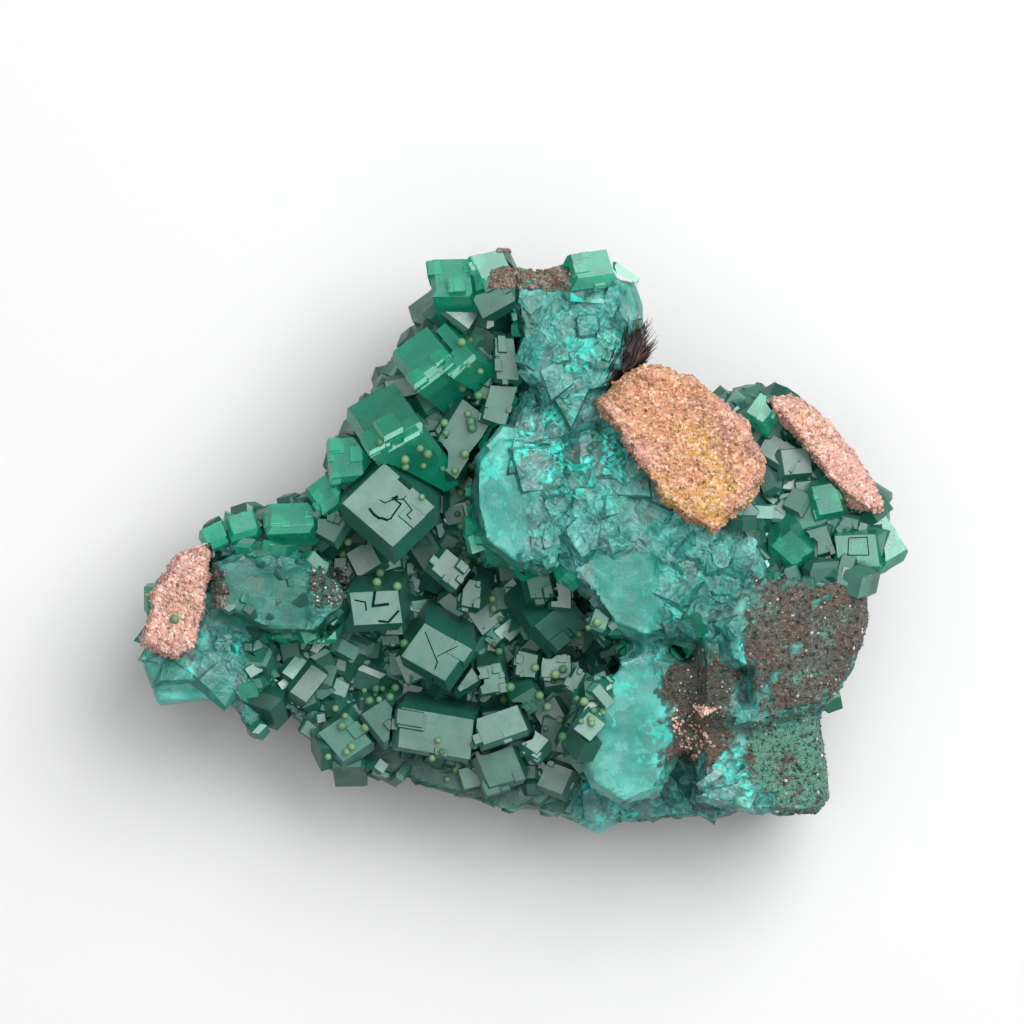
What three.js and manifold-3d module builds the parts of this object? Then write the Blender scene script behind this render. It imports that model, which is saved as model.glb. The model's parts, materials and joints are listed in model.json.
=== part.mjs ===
// A dioptase specimen: emerald rhombohedra grown in an open pocket, walled by broken turquoise
// masses of the same mineral, with caps of sandy host rock. Millimetres, +Z up, origin at the
// resting face. +X runs along the specimen's length and +Y towards its crown.
import * as THREE from "three";
import { ConvexGeometry } from "three/addons/geometries/ConvexGeometry.js";
import { mergeVertices } from "three/addons/utils/BufferGeometryUtils.js";
import Module from "manifold-3d";

const wasm = await Module();
wasm.setup();

// Driving dimensions
const clearance = 0.3; // between pieces that have grown against each other
const faceAngle = THREE.MathUtils.degToRad(84.5); // between the normals of two rhombohedron faces
const seatHeight = 13; // top of the host rock that the pocket's crystals grow from
const footInset = 0.84; // how far the host rock draws in towards the resting face
const shoulder = 2.2; // how far down a broken mass starts to round over
const shoulderInset = 0.86; // how far its top draws in

const finish = {
  matrix: new THREE.MeshStandardMaterial({ color: 0x4fa093, roughness: 0.6, metalness: 0 }),
  crystal: new THREE.MeshStandardMaterial({ color: 0x0d5540, roughness: 0.2, metalness: 0 }),
  sand: new THREE.MeshStandardMaterial({ color: 0xcf9a80, roughness: 0.95, metalness: 0 }),
  oxide: new THREE.MeshStandardMaterial({ color: 0x2c1d20, roughness: 0.6, metalness: 0.2 }),
};

// The convex solid around some points.
function solidAround(points) {
  const geometry = new ConvexGeometry(points);
  geometry.deleteAttribute("normal");
  const merged = mergeVertices(geometry, 1e-4);
  return new wasm.Manifold(
    new wasm.Mesh({
      numProp: 3,
      vertProperties: new Float32Array(merged.attributes.position.array),
      triVerts: new Uint32Array(merged.index.array),
    }),
  );
}

// The same points with room left round them, for cutting a neighbour.
function withRoom(points) {
  const room = new THREE.BoxGeometry(clearance * 2, clearance * 2, clearance * 2);
  const corners = room.getAttribute("position");
  return points.flatMap((p) =>
    Array.from({ length: corners.count }, (_, i) => new THREE.Vector3().fromBufferAttribute(corners, i).add(p)),
  );
}

// The corners of the convex shape that the planes { normal, reach } enclose.
function cornersOf(planes) {
  const corners = [];
  const matrix = new THREE.Matrix3();
  for (let i = 0; i < planes.length; i++)
    for (let j = i + 1; j < planes.length; j++)
      for (let k = j + 1; k < planes.length; k++) {
        const three = [planes[i], planes[j], planes[k]];
        const [a, b, c] = three.map((p) => p.normal);
        matrix.set(a.x, a.y, a.z, b.x, b.y, b.z, c.x, c.y, c.z);
        if (Math.abs(matrix.determinant()) < 1e-3) continue;
        const corner = new THREE.Vector3(...three.map((p) => p.reach)).applyMatrix3(matrix.invert());
        const inside = planes.every((p) => p.normal.dot(corner) < p.reach + 1e-4);
        if (inside && !corners.some((q) => q.distanceTo(corner) < 0.02)) corners.push(corner);
      }
  return corners;
}

// A dioptase crystal: three pairs of rhombohedron faces, with prism faces on the edges round its
// waist. at is the middle of its upper face, size its length along two edges and its depth, turn
// the way that its first edge points, lean [how far, which way] the upper face tips, and blunt
// what the prism leaves of it.
function crystalCorners({ at, size, turn, lean = [0, 0], blunt = 0.86 }) {
  const c = Math.cos(faceAngle);
  const s = Math.sin(faceAngle);
  const nx = (c - c * c) / s;
  const up = new THREE.Vector3(0, 0, 1);
  const along = new THREE.Vector3(s, 0, c);
  const across = new THREE.Vector3(nx, Math.sqrt(1 - nx * nx - c * c), c);
  const faces = [up, along, across];
  const reaches = [size[2] / 2, size[0] / 2, size[1] / 2];
  const planes = faces.flatMap((normal, i) => [
    { normal, reach: reaches[i] },
    { normal: normal.clone().negate(), reach: reaches[i] },
  ]);
  const whole = cornersOf(planes);
  faces.forEach((face, i) => {
    const waist = face.clone().sub(faces[(i + 1) % 3]).normalize();
    const furthest = Math.max(...whole.map((p) => p.dot(waist)));
    planes.push({ normal: waist, reach: furthest * blunt });
    planes.push({ normal: waist.clone().negate(), reach: furthest * blunt });
  });
  const [tip, towards] = lean.map(THREE.MathUtils.degToRad);
  const tipAxis = new THREE.Vector3(-Math.sin(towards), Math.cos(towards), 0);
  const place = new THREE.Matrix4()
    .makeTranslation(...at)
    .multiply(new THREE.Matrix4().makeRotationAxis(tipAxis, tip))
    .multiply(new THREE.Matrix4().makeRotationZ(THREE.MathUtils.degToRad(turn)))
    .multiply(new THREE.Matrix4().makeTranslation(0, 0, -size[2] / 2));
  return cornersOf(planes).map((p) => p.applyMatrix4(place));
}

// A broken mass: an outline carried from a drawn-in foot up to a rounded shoulder and a sloping top.
// slope is how much the top rises per millimetre towards +X and +Y.
function massCorners({ outline, foot, top, slope = [0, 0], inset = footInset, round = shoulderInset }) {
  const middle = outline
    .reduce((sum, [x, y]) => sum.add(new THREE.Vector2(x, y)), new THREE.Vector2())
    .divideScalar(outline.length);
  const ring = (share, height, sloped) =>
    outline.map(([x, y]) => {
      const p = new THREE.Vector2(x, y).sub(middle).multiplyScalar(share);
      const rise = sloped ? p.x * slope[0] + p.y * slope[1] : 0;
      return new THREE.Vector3(p.x + middle.x, p.y + middle.y, height + rise);
    });
  return [
    ...ring(inset, foot, false),
    ...ring(1, foot + (top - foot) * 0.45, false),
    ...ring(0.98, top - shoulder, true),
    ...ring(round, top, true),
  ];
}

// The host rock under everything, in lobes that are one stone.
const hostRock = [
  {
    // under the broken side
    outline: [
      [-5, 6], [9, 13.5], [23, 11.5], [34, 1.5], [33.8, -10], [29, -16], [28, -25], [8, -26.5],
      [-2, -25], [-12, -20],
    ],
    foot: 0, top: 13.5,
  },
  {
    // under the crown
    outline: [[-6.5, 21.5], [0, 24.5], [10, 23], [9, 12], [5, -2], [-11, -4], [-15, 10]],
    foot: 0, top: 14.5,
  },
  {
    // under the pocket's arm
    outline: [
      [-34, -9], [-28.5, -2], [-19, 3.5], [-8, 3], [-3, -8], [-6, -20], [-18, -20.5],
      [-27, -16.5],
    ],
    foot: 0, top: seatHeight,
  },
  {
    // the rim that the outer crystals stand on
    outline: [
      [-20.4, 3], [-17.4, 9.6], [-12.6, 16.6], [-6.8, 25], [-3, 27.2], [0, 24], [-2, 16], [-9, 8],
      [-15, 2],
    ],
    foot: 4, top: 19.6, slope: [0.1, 0.14], inset: 0.82, round: 0.8,
  },
  {
    // the rim along the arm
    outline: [[-32.4, 0], [-28, 2], [-20.4, 4], [-17.6, 0.6], [-22, -4], [-29, -4]],
    foot: 3, top: 17, inset: 0.84, round: 0.84,
  },
  {
    // the sill below the pocket
    outline: [
      [-26.4, -16], [-20.6, -20.2], [-18.4, -22.9], [-8.8, -24.9], [-2.8, -27.2], [-0.4, -28.4],
      [4, -26], [0, -18], [-14, -16],
    ],
    foot: 1, top: 14.6, slope: [0, -0.05], inset: 0.9, round: 0.94,
  },
];

// Broken turquoise masses that wall the pocket.
const masses = [
  {
    // the crown block
    outline: [
      [-1, 22.6], [-0.9, 26.2], [3, 27], [8, 26.8], [11.4, 25.2], [12.2, 23], [12.2, 20.5],
      [9, 14.1], [4, 12.4], [0, 15],
    ],
    foot: 8, top: 27.5, slope: [-0.1, 0.02], inset: 0.86, round: 0.9,
  },
  {
    // the neck below it
    outline: [[-0.6, 15.2], [8, 15.8], [10, 13.5], [8, 9.5], [2.5, 8.4], [-2, 10.6]],
    foot: 11, top: 25.6, slope: [0.06, 0.05],
  },
  {
    // the great middle mass
    outline: [
      [3, 10], [9, 13.4], [14, 10.5], [23, 3.2], [25, -4.4], [18, -10.5], [12, -11.6],
      [8.5, -10], [4, -3.6],
    ],
    foot: 10, top: 27.8, slope: [0.02, 0.05],
  },
  {
    // the rounded lobe that faces the pocket
    outline: [
      [-5, 8], [-2.6, 11], [3.5, 10.4], [6.4, 5.5], [5, -2.4], [0, -4.3], [-4.4, -1],
      [-5.4, 3.4],
    ],
    foot: 11, top: 27, slope: [0.1, 0.02],
  },
  {
    // the rounded lobe below it
    outline: [
      [9.2, -11.4], [13, -10.4], [17, -12.4], [16.2, -22], [14, -26.4], [10, -27.8],
      [6.6, -25.4], [4.8, -21], [6, -16.4],
    ],
    foot: 9, top: 24, slope: [0.06, 0.12],
  },
  {
    // the shelf under the right-hand pocket
    outline: [
      [17, 12.6], [22.4, 14], [26.5, 13.6], [36, 3], [36.6, -2], [33, -5], [24, -5], [20, 1.6],
    ],
    foot: 9, top: 21, slope: [0, -0.04],
  },
  {
    // the crusted block
    outline: [
      [17, -10.4], [22.5, -4.4], [28, -3.4], [35.2, -3.4], [35, -8.6], [33.4, -14],
      [30.6, -17.6], [23, -20], [16.5, -19],
    ],
    foot: 9, top: 25.6, slope: [-0.14, 0.05],
  },
  {
    // the crusted foot
    outline: [
      [16.4, -17.4], [23, -18], [30.2, -17], [30.2, -22.4], [31.4, -26.4], [30, -28.3],
      [24, -28.4], [17.4, -26.8],
    ],
    foot: 4, top: 22, slope: [-0.12, 0.18],
  },
  {
    // the ledge under the lobes
    outline: [
      [-2, -25], [8, -24.4], [22, -25.8], [22, -28.4], [14, -28.2], [10, -29.1], [3, -28.8],
      [-1, -27.6],
    ],
    foot: 3, top: 13,
  },
  {
    // the lump on the arm
    outline: [
      [-31.4, -2.4], [-28, -0.9], [-22, -1.4], [-18, -4.4], [-17, -7.4], [-20, -10.4],
      [-25, -10.4], [-30.4, -7.4],
    ],
    foot: 10, top: 23, slope: [-0.06, 0.1],
  },
  {
    // the arm's end
    outline: [
      [-38.3, -10.4], [-37.3, -6.6], [-34.6, -2.9], [-30.4, -4], [-26, -10.6], [-26, -15.4],
      [-30, -16.4], [-36.6, -17.2], [-38.2, -13],
    ],
    foot: 5, top: 18.6, slope: [0.14, 0.1], inset: 0.9, round: 0.93,
  },
  {
    // the wedge under it
    outline: [[-30, -16.4], [-27.6, -15.2], [-25.6, -17.6], [-26, -19.9], [-27.4, -20.1]],
    foot: 4, top: 13.5,
  },
];

// Sandy host rock left as caps on the broken side.
const sandCaps = {
  sand_cap_center: {
    outline: [
      [7.2, 13.4], [12, 17.1], [17, 15.8], [22.5, 11.1], [24.2, 6.6], [22.8, 3.1], [19.2, -0.2],
      [14.5, 2.6], [12, 6.6],
    ],
    foot: 23, top: 31, slope: [-0.03, 0.08], inset: 0.92, round: 0.9,
  },
  sand_cap_right: {
    outline: [
      [24.6, 13.6], [26.6, 13.9], [29.4, 12.6], [33, 8.6], [36, 3.1], [35.5, 1.8], [33, 3.1],
      [29.5, 7.6], [26.4, 11.1],
    ],
    foot: 16, top: 25.6, slope: [-0.2, -0.02], inset: 0.96, round: 0.84,
  },
  sand_cap_left: {
    outline: [
      [-31.4, -0.9], [-34.2, -1.9], [-36.9, -5.2], [-38.4, -11.2], [-35, -13], [-32.6, -11.6],
      [-31.6, -7.4], [-31, -2.6],
    ],
    foot: 8, top: 21, slope: [0.16, 0.1], inset: 0.9, round: 0.84,
  },
};

// The crystals, from the biggest down. Later ones stop against earlier ones.
const crystals = {
  // the pocket's great rhomb and the blocks along the left rim
  great_rhomb: { at: [-13.2, 2.8, 25], size: [7.3, 8.2, 12], turn: 49, lean: [6, 250], blunt: 0.84 },
  rim_block_long: { at: [-13.6, 12.2, 24.6], size: [6, 7.2, 11], turn: 33, lean: [42, 118], blunt: 0.9 },
  rim_block_pale: { at: [-9.9, 18.3, 25.2], size: [4.9, 5.2, 10], turn: 40, lean: [34, 130], blunt: 0.88 },
  rim_block_tall: { at: [-7.2, 19, 26], size: [3.2, 5.6, 9], turn: 44, lean: [36, 140], blunt: 0.94 },
  rim_cube: { at: [-17.4, 8, 22.6], size: [3.8, 4.4, 8], turn: 8, lean: [22, 150], blunt: 0.92 },
  rim_cube_small: { at: [-19.8, 4.6, 20.6], size: [2.9, 3.2, 7], turn: 40, lean: [26, 140], blunt: 0.88 },
  rim_lens: { at: [-23.1, 2.1, 19.6], size: [5, 3.2, 5], turn: 6, lean: [30, 100], blunt: 0.84 },
  rim_crumb_a: { at: [-28, 1.3, 18.4], size: [3.1, 2.5, 4.5], turn: 20, lean: [20, 120], blunt: 0.84 },
  rim_crumb_b: { at: [-30.8, 0.3, 18], size: [3, 2.3, 4.5], turn: 30, lean: [24, 120], blunt: 0.82 },
  pocket_blade: { at: [-19.6, 1.5, 20.6], size: [3.6, 4.4, 7], turn: 62, lean: [16, 200], blunt: 0.88 },
  // the crown
  crown_block_left: { at: [-6.7, 26.1, 27.4], size: [4, 4, 9], turn: 6, lean: [28, 92], blunt: 0.92 },
  crown_block_tip: { at: [-3, 27, 27.8], size: [4, 3.4, 9], turn: 22, lean: [26, 70], blunt: 0.86 },
  crown_shield: { at: [-2.7, 23.9, 28.4], size: [4.5, 4.9, 8], turn: 120, lean: [16, 260], blunt: 0.82 },
  crown_far_block: { at: [6.9, 26.9, 28.2], size: [4.6, 3.6, 8], turn: 15, lean: [24, 80], blunt: 0.84 },
  crown_far_step: { at: [10, 25.5, 27.2], size: [3.4, 3, 7], turn: -30, lean: [22, 60], blunt: 0.86 },
  crown_flag: { at: [-5.9, 22.6, 25.4], size: [3.8, 2.8, 6], turn: -32, lean: [14, 60], blunt: 0.9 },
  pocket_step_top: { at: [-1.3, 17.7, 26], size: [2.6, 4.5, 7], turn: 2, lean: [10, 200], blunt: 0.92 },
  pocket_column: { at: [-3.6, 16.4, 24.4], size: [2.7, 6, 8], turn: -18, lean: [20, 190], blunt: 0.88 },
  pocket_slab: { at: [-6.2, 9.6, 22.4], size: [4.4, 7.8, 9], turn: -32, lean: [12, 200], blunt: 0.88 },
  pocket_slab_upper: { at: [-1.9, 13.4, 25], size: [3.4, 5, 8], turn: -14, lean: [10, 200], blunt: 0.9 },
  // the middle of the pocket
  hopper_crystal: { at: [-14.6, -7.2, 21.6], size: [5.8, 4.2, 9], turn: 8, lean: [8, 260], blunt: 0.86 },
  lit_block: { at: [-20.1, -8.6, 19.8], size: [3.5, 4, 8], turn: 6, lean: [12, 260], blunt: 0.9 },
  twin_block: { at: [-8.6, -11.8, 21.4], size: [5.2, 6.2, 9], turn: 60, lean: [12, 250], blunt: 0.84 },
  twin_block_small: { at: [-6, -13.8, 20], size: [3, 3.8, 7], turn: 35, lean: [12, 300], blunt: 0.86 },
  square_block: { at: [-2.9, -14.1, 19.8], size: [2.9, 3.1, 7], turn: 15, lean: [6, 270], blunt: 0.93 },
  long_crystal: { at: [-8.6, -19.7, 19.6], size: [8, 4.6, 7], turn: -5, lean: [10, 265], blunt: 0.9 },
  long_crystal_end: { at: [-13.7, -18.6, 19.2], size: [3.6, 4.4, 7], turn: 38, lean: [14, 230], blunt: 0.86 },
  pale_block: { at: [-17.7, -20.4, 17.2], size: [4.6, 4.8, 8], turn: 40, lean: [16, 240], blunt: 0.84 },
  arched_block: { at: [-2.1, -18.8, 20.2], size: [5.2, 3.2, 7], turn: 24, lean: [10, 110], blunt: 0.9 },
  dark_diamond: { at: [0.8, -16.6, 18.2], size: [3, 2.9, 6], turn: 36, lean: [30, 300], blunt: 0.9 },
  lower_block: { at: [-2.2, -23, 17.8], size: [4.6, 4.8, 8], turn: 22, lean: [14, 260], blunt: 0.86 },
  lower_petal: { at: [1.2, -20.7, 17.6], size: [2.7, 3.3, 6], turn: 55, lean: [10, 90], blunt: 0.8 },
  lower_knot: { at: [3.4, -24.4, 16], size: [3.4, 3.4, 6], turn: 70, lean: [10, 200], blunt: 0.84 },
  shard: { at: [6.4, -14.9, 20.4], size: [3.4, 2.6, 7], turn: -28, lean: [10, 120], blunt: 0.92 },
  deep_block: { at: [4, -9, 19.4], size: [5.6, 4.8, 8], turn: 43, lean: [34, 315], blunt: 0.82 },
  rose_step_a: { at: [0.7, -12.8, 18], size: [2.2, 2.6, 6], turn: -8, lean: [6, 180], blunt: 0.94 },
  rose_step_b: { at: [3.6, -12.9, 17.6], size: [3.2, 2.5, 6], turn: 2, lean: [6, 90], blunt: 0.94 },
  wall_crystal: { at: [1.6, -4.6, 22], size: [3.2, 4.6, 7], turn: 12, lean: [20, 250], blunt: 0.82 },
  wall_step: { at: [4.1, -5.8, 21.6], size: [2.3, 2.8, 7], turn: 0, lean: [8, 270], blunt: 0.92 },
  overhang_rhomb: { at: [8.4, -8.7, 23.4], size: [3.6, 3.6, 6], turn: 40, lean: [14, 240], blunt: 0.84 },
  upper_rhomb: { at: [-7, -3.3, 20], size: [3.8, 3.1, 7], turn: -36, lean: [8, 80], blunt: 0.88 },
  upper_wedge: { at: [-5, -5.8, 19.6], size: [2.4, 3.4, 7], turn: -6, lean: [10, 220], blunt: 0.86 },
  // the right-hand pocket
  right_green: { at: [24, 12.6, 23.4], size: [3.4, 3, 7], turn: 60, lean: [12, 120], blunt: 0.8 },
  right_slanted: { at: [25.8, 8.4, 22.6], size: [4.6, 2.8, 6], turn: -28, lean: [14, 100], blunt: 0.88 },
  right_turquoise: { at: [30.4, 3.6, 24], size: [3.2, 3.8, 7], turn: 16, lean: [14, 230], blunt: 0.84 },
  right_prism: { at: [26.9, -1.6, 24.2], size: [3.8, 4.4, 7], turn: 46, lean: [24, 270], blunt: 0.76 },
  right_face: { at: [29.6, -0.5, 23.2], size: [3, 3.2, 6], turn: 20, lean: [14, 300], blunt: 0.88 },
  right_stepped: { at: [33.5, -1.4, 23.4], size: [4.4, 3.6, 6], turn: 8, lean: [10, 240], blunt: 0.92 },
  corner_crystal: { at: [36.4, -0.4, 21.4], size: [3.6, 5, 8], turn: 34, lean: [22, 20], blunt: 0.84 },
};

// A tuft of dark needles in the notch beside the crown.
const needleTuft = {
  outline: [[8.2, 14.6], [10.4, 14.4], [12.4, 18.4], [12.5, 21.6], [11.4, 21.2], [9.6, 18]],
  foot: 19, top: 27.6, slope: [0.1, 0.1], inset: 0.9, round: 0.7,
};

// Cuts each piece by the ones before it, and keeps what is left in one body.
const placed = [];
function fit(name, shapes, material) {
  let body = shapes.map(solidAround).reduce((whole, next) => whole.add(next));
  for (const earlier of placed) body = body.subtract(earlier.room);
  const largest = body.decompose().reduce((a, b) => (a.volume() > b.volume() ? a : b));
  const grown = shapes.map((points) => solidAround(withRoom(points)));
  const room = grown.reduce((whole, next) => whole.add(next));
  placed.push({ name, body: largest, room, material });
}

function meshOf({ name, body, material }) {
  const { vertProperties, triVerts } = body.getMesh();
  const geometry = new THREE.BufferGeometry()
    .setAttribute("position", new THREE.BufferAttribute(new Float32Array(vertProperties), 3))
    .setIndex(new THREE.BufferAttribute(new Uint32Array(triVerts), 1));
  geometry.computeVertexNormals();
  const mesh = new THREE.Mesh(geometry, material);
  mesh.name = name;
  return mesh;
}

fit("matrix", [...hostRock, ...masses].map(massCorners), finish.matrix);
for (const [name, cap] of Object.entries(sandCaps)) fit(name, [massCorners(cap)], finish.sand);
fit("needle_tuft", [massCorners(needleTuft)], finish.oxide);
for (const [name, crystal] of Object.entries(crystals)) {
  fit(name, [crystalCorners(crystal)], finish.crystal);
}

const specimen = new THREE.Group();
placed.forEach((piece) => specimen.add(meshOf(piece)));

// Stand it on its resting face with the origin under its middle.
const extent = new THREE.Box3().setFromObject(specimen);
const middle = extent.getCenter(new THREE.Vector3());
specimen.position.set(-middle.x, -middle.y, -extent.min.z);

export default specimen;
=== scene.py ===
import json
import math
import random
from itertools import combinations

import bmesh
import bpy
import numpy as np
from mathutils import Matrix, Vector, noise

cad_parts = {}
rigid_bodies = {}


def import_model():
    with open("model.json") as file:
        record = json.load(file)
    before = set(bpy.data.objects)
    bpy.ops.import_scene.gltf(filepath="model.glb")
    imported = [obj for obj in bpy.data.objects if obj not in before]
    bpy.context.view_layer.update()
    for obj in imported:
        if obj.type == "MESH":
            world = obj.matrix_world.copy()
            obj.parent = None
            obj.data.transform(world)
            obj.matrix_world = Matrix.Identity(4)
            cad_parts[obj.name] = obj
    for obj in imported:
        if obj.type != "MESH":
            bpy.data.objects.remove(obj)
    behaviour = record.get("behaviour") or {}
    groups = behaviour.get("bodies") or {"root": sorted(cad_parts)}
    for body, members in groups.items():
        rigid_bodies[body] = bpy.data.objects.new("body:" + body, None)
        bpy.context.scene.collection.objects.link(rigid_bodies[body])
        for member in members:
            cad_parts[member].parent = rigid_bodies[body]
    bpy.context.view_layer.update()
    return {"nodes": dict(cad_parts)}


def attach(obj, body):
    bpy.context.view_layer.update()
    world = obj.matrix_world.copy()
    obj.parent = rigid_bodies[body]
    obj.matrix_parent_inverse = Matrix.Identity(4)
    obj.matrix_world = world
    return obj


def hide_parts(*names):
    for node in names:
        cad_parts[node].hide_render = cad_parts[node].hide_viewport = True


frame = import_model()
mm = 0.001
offset = Vector((-0.17, 0.23))  # from the layout's origin to the part's, in mm
eyeHeight = 0.2  # rays that look for the surface start here, in metres
lowestSeat = 0.008  # and only what they meet above this height counts
down = Vector((0, 0, -1))
weldDistance = 1e-6


class Wire:
    # a socket that takes part in arithmetic
    def __init__(self, graph, socket):
        self.graph = graph
        self.socket = socket

    def math(self, operation, *others):
        values = dict(enumerate([self, *others]))
        return self.graph.add("ShaderNodeMath", {"operation": operation}, values).out(0)

    def __add__(self, other):
        return self.math("ADD", other)

    def __sub__(self, other):
        return self.math("SUBTRACT", other)

    def __rsub__(self, other):
        node = self.graph.add("ShaderNodeMath", {"operation": "SUBTRACT"}, {0: other, 1: self})
        return node.out(0)

    def __mul__(self, other):
        return self.math("MULTIPLY", other)


class Made:
    # a node that was added, and its outputs
    def __init__(self, graph, node):
        self.graph = graph
        self.node = node

    def out(self, key=0):
        return Wire(self.graph, self.node.outputs[key])


class Graph:
    def __init__(self, tree):
        self.tree = tree

    def add(self, kind, settings=None, values=None):
        node = self.tree.nodes.new(kind)
        for key, value in (settings or {}).items():
            if key == "stops":
                ramp = node.color_ramp
                while len(ramp.elements) < len(value):
                    ramp.elements.new(0.5)
                for element, (place, colour) in zip(ramp.elements, value):
                    element.position = place
                    element.color = (*colour, 1)
            else:
                setattr(node, key, value)
        for key, value in (values or {}).items():
            socket = node.inputs[key]
            if isinstance(value, Wire):
                self.tree.links.new(value.socket, socket)
            elif isinstance(value, Made):
                self.tree.links.new(value.out(0).socket, socket)
            else:
                socket.default_value = value
        return Made(self, node)

    def mixColour(self, factor, a, b):
        a = (*a, 1) if isinstance(a, tuple) and len(a) == 3 else a
        b = (*b, 1) if isinstance(b, tuple) and len(b) == 3 else b
        values = {0: factor, 6: a, 7: b}
        return self.add("ShaderNodeMix", {"data_type": "RGBA"}, values).out(2)

    def vector(self, operation, a, b=None, scale=None):
        values = {0: a}
        if b is not None:
            values[1] = b
        if scale is not None:
            values["Scale"] = scale
        node = self.add("ShaderNodeVectorMath", {"operation": operation}, values)
        return node.out(1 if operation in ("DOT_PRODUCT", "LENGTH", "DISTANCE") else 0)

    def smooth(self, value, low, high):
        # 0 below low, 1 above high
        values = {0: value, 1: low, 2: high}
        return self.add("ShaderNodeMapRange", {"interpolation_type": "SMOOTHSTEP"}, values).out(0)

    def noise(self, where, scale, detail=2.0, roughness=0.5, distortion=0.0):
        values = {"Vector": where, "Scale": scale, "Detail": detail}
        values.update({"Roughness": roughness, "Distortion": distortion})
        return self.add("ShaderNodeTexNoise", {}, values).out(0)

    def cells(self, where, scale, settings=None):
        values = {"Vector": where, "Scale": scale, "Randomness": 1.0}
        return self.add("ShaderNodeTexVoronoi", settings or {}, values)

    def facets(self, where, scale):
        # distances that meet in straight ridges, for bumps with flat sides
        return self.cells(where, scale, {"distance": "MANHATTAN"}).out("Distance")

    def slant(self, cell):
        # a direction of its own for each cell
        return self.vector("SUBTRACT", cell.out("Color"), (0.5, 0.5, 0.5))

    def tilt(self, where, scale):
        # planes at random slants, one to each cell: the look of broken cleavage
        cell = self.cells(where, scale)
        fromSeed = self.vector("SUBTRACT", where, cell.out("Position"))
        return self.vector("DOT_PRODUCT", fromSeed, self.slant(cell))

    def channels(self, colour):
        return self.add("ShaderNodeSeparateColor", {}, {0: colour})

    def cellChannels(self, where, scale):
        # three random numbers for each cell
        return self.channels(self.cells(where, scale).out("Color"))

    def painted(self, name):
        # a number stored on the mesh, read in a material
        return self.add("ShaderNodeAttribute", {"attribute_name": name}).out("Fac")

    def stored(self, name, kind="FLOAT"):
        # and read in a geometry tree
        return self.add("GeometryNodeInputNamedAttribute", {"data_type": kind}, {"Name": name}).out(0)

    def bump(self, height, strength, depth):
        values = {"Strength": strength, "Distance": depth * mm, "Height": height}
        return self.add("ShaderNodeBump", {}, values)

    def random(self, seed, low=0.0, high=1.0):
        values = {2: low, 3: high, "Seed": seed}
        return self.add("FunctionNodeRandomValue", {"data_type": "FLOAT"}, values).out(1)

    def positionInMm(self):
        return self.vector("SCALE", self.add("GeometryNodeInputPosition").out(0), scale=1 / mm)

    def pushed(self, geometry, amount):
        # the surface moved along its normals by an amount in mm, and shaded smooth
        normal = self.add("GeometryNodeInputNormal").out(0)
        moved = self.vector("SCALE", normal, scale=amount * mm)
        placed = self.add("GeometryNodeSetPosition", {}, {"Geometry": geometry, "Offset": moved})
        return self.add("GeometryNodeSetShadeSmooth", {}, {0: placed, 2: True})

    def tinted(self, instances, value):
        # a shade for each instance, stored for its material
        values = {"Geometry": instances, "Name": "tint", "Value": value}
        settings = {"data_type": "FLOAT", "domain": "INSTANCE"}
        return self.add("GeometryNodeStoreNamedAttribute", settings, values)

    def endTree(self, geometry, material):
        values = {"Geometry": geometry, "Material": material}
        dressed = self.add("GeometryNodeSetMaterial", {}, values)
        self.add("NodeGroupOutput", {}, {0: dressed})


def between(low, high, share):
    return low + (high - low) * share


def newMaterial(name):
    material = bpy.data.materials.new(name)
    material.use_nodes = True
    material.node_tree.nodes.clear()
    graph = Graph(material.node_tree)
    where = graph.vector("SCALE", graph.add("ShaderNodeTexCoord").out("Object"), scale=1 / mm)
    return material, graph, where


def finishMaterial(graph, values):
    shader = graph.add("ShaderNodeBsdfPrincipled", {}, values)
    graph.add("ShaderNodeOutputMaterial", {}, {0: shader})


emerald = {
    "deep": (0.006, 0.108, 0.073),
    "bright": (0.03, 0.4, 0.28),
    "dusty": (0.42, 0.47, 0.43),
    "film": 0.29,
    "speckle": 0.5,
    "ior": 1.6,
    "specular": 0.3,
    "transmission": 0.45,
    "glow": 0.0,
    "roughness": 0.45,
    "polish": 0.26,
    "coat": 0.6,
    "coatIor": 1.7,
    "relief": 0.35,
    "reliefDepth": 0.12,
}
# a lit copy of the emerald for crystals with light behind them: a paler green, more painted sheen and a
# painted glow
backlit = {
    **emerald,
    "deep": (0.001, 0.2, 0.115),
    "bright": (0.02, 0.58, 0.38),
    "dusty": (0.5, 0.72, 0.64),
    "film": 0.17,
    "transmission": 0.8,
    "glow": 0.17,
    "roughness": 0.26,
    "coat": 0.78,
}


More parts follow.
